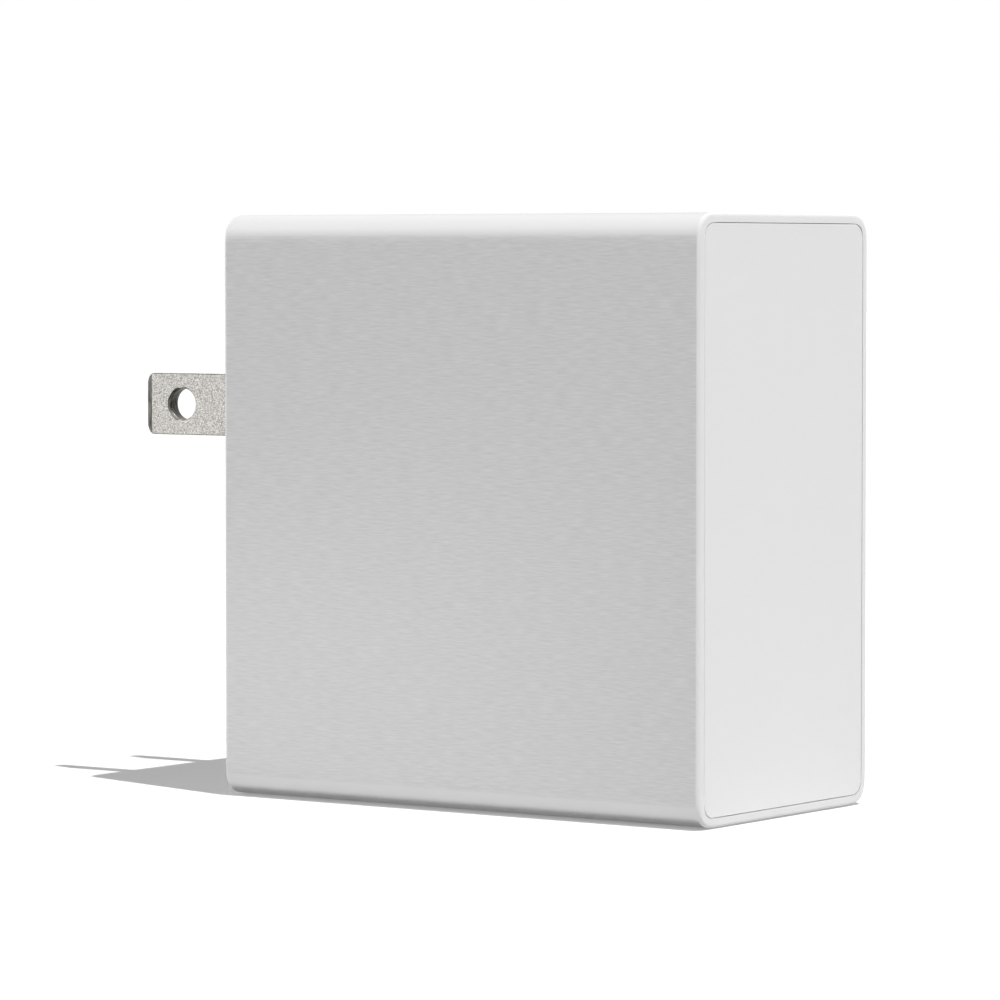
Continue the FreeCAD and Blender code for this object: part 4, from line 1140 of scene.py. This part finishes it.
# Outlet: a USB-C receptacle, its shell drawn from steel and nickel plated, with a moulded tongue
# that carries two rows of gold-plated terminals. Its power manager is a small leadless chip.
def drawn_nickel_steel():
    """Nickel-plated drawn steel: neutral and fairly bright, with drawing lines along Z."""
    return grained(
        "nickel_plated_drawn_steel",
        {"Metallic": 1.0},
        grain=(0.1 * MM, 0.1 * MM, 1.6 * MM),
        colours=("#AFAEAB", "#C6C5C2"),
        roughness=(0.20, 0.32),
        relief=0.002 * MM,
    )


def black_nylon():
    """Moulded black nylon: satin, with short glass fibres as faint 0.3 mm flecks."""
    return grained(
        "moulded_black_nylon",
        {"IOR": 1.53},
        grain=0.3 * MM,
        colours=("#121212", "#1E1E1E"),
        roughness=(0.38, 0.52),
        relief=0.003 * MM,
    )


def gold_plating():
    """Hard gold plating on stamped terminals: warm yellow and bright, faintly lined along Z."""
    return grained(
        "hard_gold_plating",
        {"Metallic": 1.0},
        grain=(0.05 * MM, 0.05 * MM, 0.8 * MM),
        colours=("#C79A3C", "#E0BC68"),
        roughness=(0.16, 0.26),
        relief=0.001 * MM,
    )


dress(drawn_nickel_steel(), "outlet_shell")
dress(black_nylon(), "outlet_insert")
dress(gold_plating(), "outlet_terminals")
dress(black_epoxy("black_epoxy_manager"), "power_manager")


# Insulation: a milky polypropylene sheet, cut from the roll and laid on the case's wall behind
# the soldered side of the main board.
def polypropylene_sheet():
    """Calendered polypropylene: milky white and satin, with a faint haze 0.8 mm across."""
    return grained(
        "calendered_polypropylene",
        {"IOR": 1.49},
        grain=0.8 * MM,
        colours=("#D6D6D0", "#E2E2DD"),
        roughness=(0.34, 0.46),
        relief=0.003 * MM,
    )


dress(polypropylene_sheet(), "insulation_sheet")


# End cap: a flush plate of the same white polycarbonate, welded to the inner case by its skirt.
# Its front edge is just broken, so a hairline gap shows between it and the sleeve's rim. Its broken
# edge and its sides are painted grey, as painted shade in the gap.
FRONT_FACING = 0.9


def shade_edged_cap():
    """White polycarbonate, painted a little grey as shade wherever it doesn't face the front."""
    material = white_polycarbonate("satin_white_cap")
    # Painted shade: the broken edge and the sides are greyed to darken the hairline gap.
    tint_where(material, turned_from(material.node_tree, "X", FRONT_FACING), "#CCCBC8")
    return material


end_cap = merged_copy("end_cap", "moulded_end_cap")
end_cap.data.materials.append(shade_edged_cap())
shade_smoothly(end_cap)
belongs(end_cap, "white_polycarbonate", "end_cap")


# Studio: a pale floor and a white surround, with one hard lamp high on the front right that throws
# the shadow to the rear left. Three soft boxes on the left light only the metal, which mirrors
# them. The floor lies a little low, so that a dark line shows under the not quite flat underside.
LAMP_FROM = (0.376, -0.106, 0.9205)
LAMP_LEVEL = 0.975
LAMP_ANGLE = math.radians(0.6)
SURROUND_LEVEL = 0.208
FLOOR_GLOW = 0.243
FLOOR_REACH = 4.0
FLOOR_DROP = 0.10 * MM
AIM = Vector((0, 0, 30 * MM))


def seen_directly(tree):
    """Give 1 for rays that the camera, a reflection or clear material sends, and 0 for light."""
    path = add_node(tree, "ShaderNodeLightPath")
    mirrored = add_node(
        tree,
        "ShaderNodeMath",
        {"operation": "MAXIMUM"},
        {0: path.outputs["Is Camera Ray"], 1: path.outputs["Is Glossy Ray"]},
    )
    seen = add_node(
        tree,
        "ShaderNodeMath",
        {"operation": "MAXIMUM"},
        {0: mirrored.outputs[0], 1: path.outputs["Is Transmission Ray"]},
    )
    return seen.outputs[0]


def pale_floor():
    """Matt pale floor that shows as white where it is lit, and keeps the shadow."""
    material = bpy.data.materials.new("matt_pale_floor")
    material.use_nodes = True
    tree = material.node_tree
    tree.nodes.clear()
    glow = add_node(
        tree, "ShaderNodeMath", {"operation": "MULTIPLY", 1: FLOOR_GLOW}, {0: seen_directly(tree)}
    )
    paint = add_node(tree, "ShaderNodeBsdfDiffuse", {"Color": linear("#E2E2E2")})
    white = add_node(
        tree,
        "ShaderNodeEmission",
        {"Color": linear("#FFFFFF")},
        {"Strength": glow.outputs[0]},
    )
    both = add_node(
        tree,
        "ShaderNodeAddShader",
        links={0: paint.outputs["BSDF"], 1: white.outputs["Emission"]},
    )
    add_node(tree, "ShaderNodeOutputMaterial", links={"Surface": both.outputs["Shader"]})
    return material


floor_corners = [
    (side_x * FLOOR_REACH, side_y * FLOOR_REACH, -FLOOR_DROP)
    for side_x, side_y in ((-1, -1), (1, -1), (1, 1), (-1, 1))
]
floor_mesh = bpy.data.meshes.new("floor")
floor_mesh.from_pydata(floor_corners, [], [(0, 1, 2, 3)])
floor_mesh.materials.append(pale_floor())
new_piece("floor", floor_mesh)

world = bpy.data.worlds.new("white_surround")
bpy.context.scene.world = world
world.use_nodes = True
world.node_tree.nodes.clear()
level = add_node(
    world.node_tree,
    "ShaderNodeMapRange",
    {"To Min": SURROUND_LEVEL, "To Max": 1.0},
    {"Value": seen_directly(world.node_tree)},
)
surround = add_node(
    world.node_tree,
    "ShaderNodeBackground",
    {"Color": linear("#FFFFFF")},
    {"Strength": level.outputs["Result"]},
)
add_node(
    world.node_tree,
    "ShaderNodeOutputWorld",
    links={"Surface": surround.outputs["Background"]},
)


def add_lamp(name, kind, towards):
    """Add a lamp of Blender's kind that shines from a direction, and give its object."""
    lamp = bpy.data.objects.new(name, bpy.data.lights.new(name, kind))
    lamp.rotation_euler = towards.to_track_quat("Z", "Y").to_euler()
    bpy.context.scene.collection.objects.link(lamp)
    return lamp


def add_softbox(name, centre, size, level):
    """Add a soft box that faces the adapter, where a level of 1 is as bright as white paper."""
    box = add_lamp(name, "AREA", Vector(centre) - AIM)
    box.location = centre
    box.data.shape = "RECTANGLE"
    box.data.size, box.data.size_y = size
    box.data.energy = level * math.pi * box.data.size * box.data.size_y
    box.visible_camera = False
    box.visible_diffuse = False


add_softbox("high_softbox", centre=(-0.45, 0.0, 0.60), size=(1.4, 1.4), level=0.63)
add_softbox("front_softbox", centre=(-0.33, -0.41, 0.34), size=(0.25, 0.15), level=1.1)
add_softbox("low_softbox", centre=(-0.08, -0.11, 0.004), size=(0.08, 0.006), level=3.6)

hard_lamp = add_lamp("hard_lamp", "SUN", Vector(LAMP_FROM))
hard_lamp.data.energy = LAMP_LEVEL * math.pi
hard_lamp.data.angle = LAMP_ANGLE


# Camera: a long lens, slightly below the adapter's top and to the front right of its large face,
# tilted a little down.
CAMERA_TURN = math.radians(35.148)
CAMERA_TILT = math.radians(2.721)
CAMERA_DISTANCE = 508.27 * MM
CAMERA_SIDESTEP = -4.329 * MM
CAMERA_HEIGHT = 54.147 * MM
LENS_RATIO = 5.0839

camera = bpy.data.objects.new("camera", bpy.data.cameras.new("camera"))
camera.data.lens = camera.data.sensor_width * LENS_RATIO
aside = Vector((math.cos(CAMERA_TURN), math.sin(CAMERA_TURN), 0)) * CAMERA_SIDESTEP
back = Vector((math.sin(CAMERA_TURN), -math.cos(CAMERA_TURN), 0)) * CAMERA_DISTANCE
camera.location = aside + back + Vector((0, 0, CAMERA_HEIGHT))
camera.rotation_euler = (math.radians(90) - CAMERA_TILT, 0, CAMERA_TURN)
bpy.context.scene.collection.objects.link(camera)
bpy.context.scene.camera = camera
bpy.context.scene.view_settings.view_transform = "Standard"
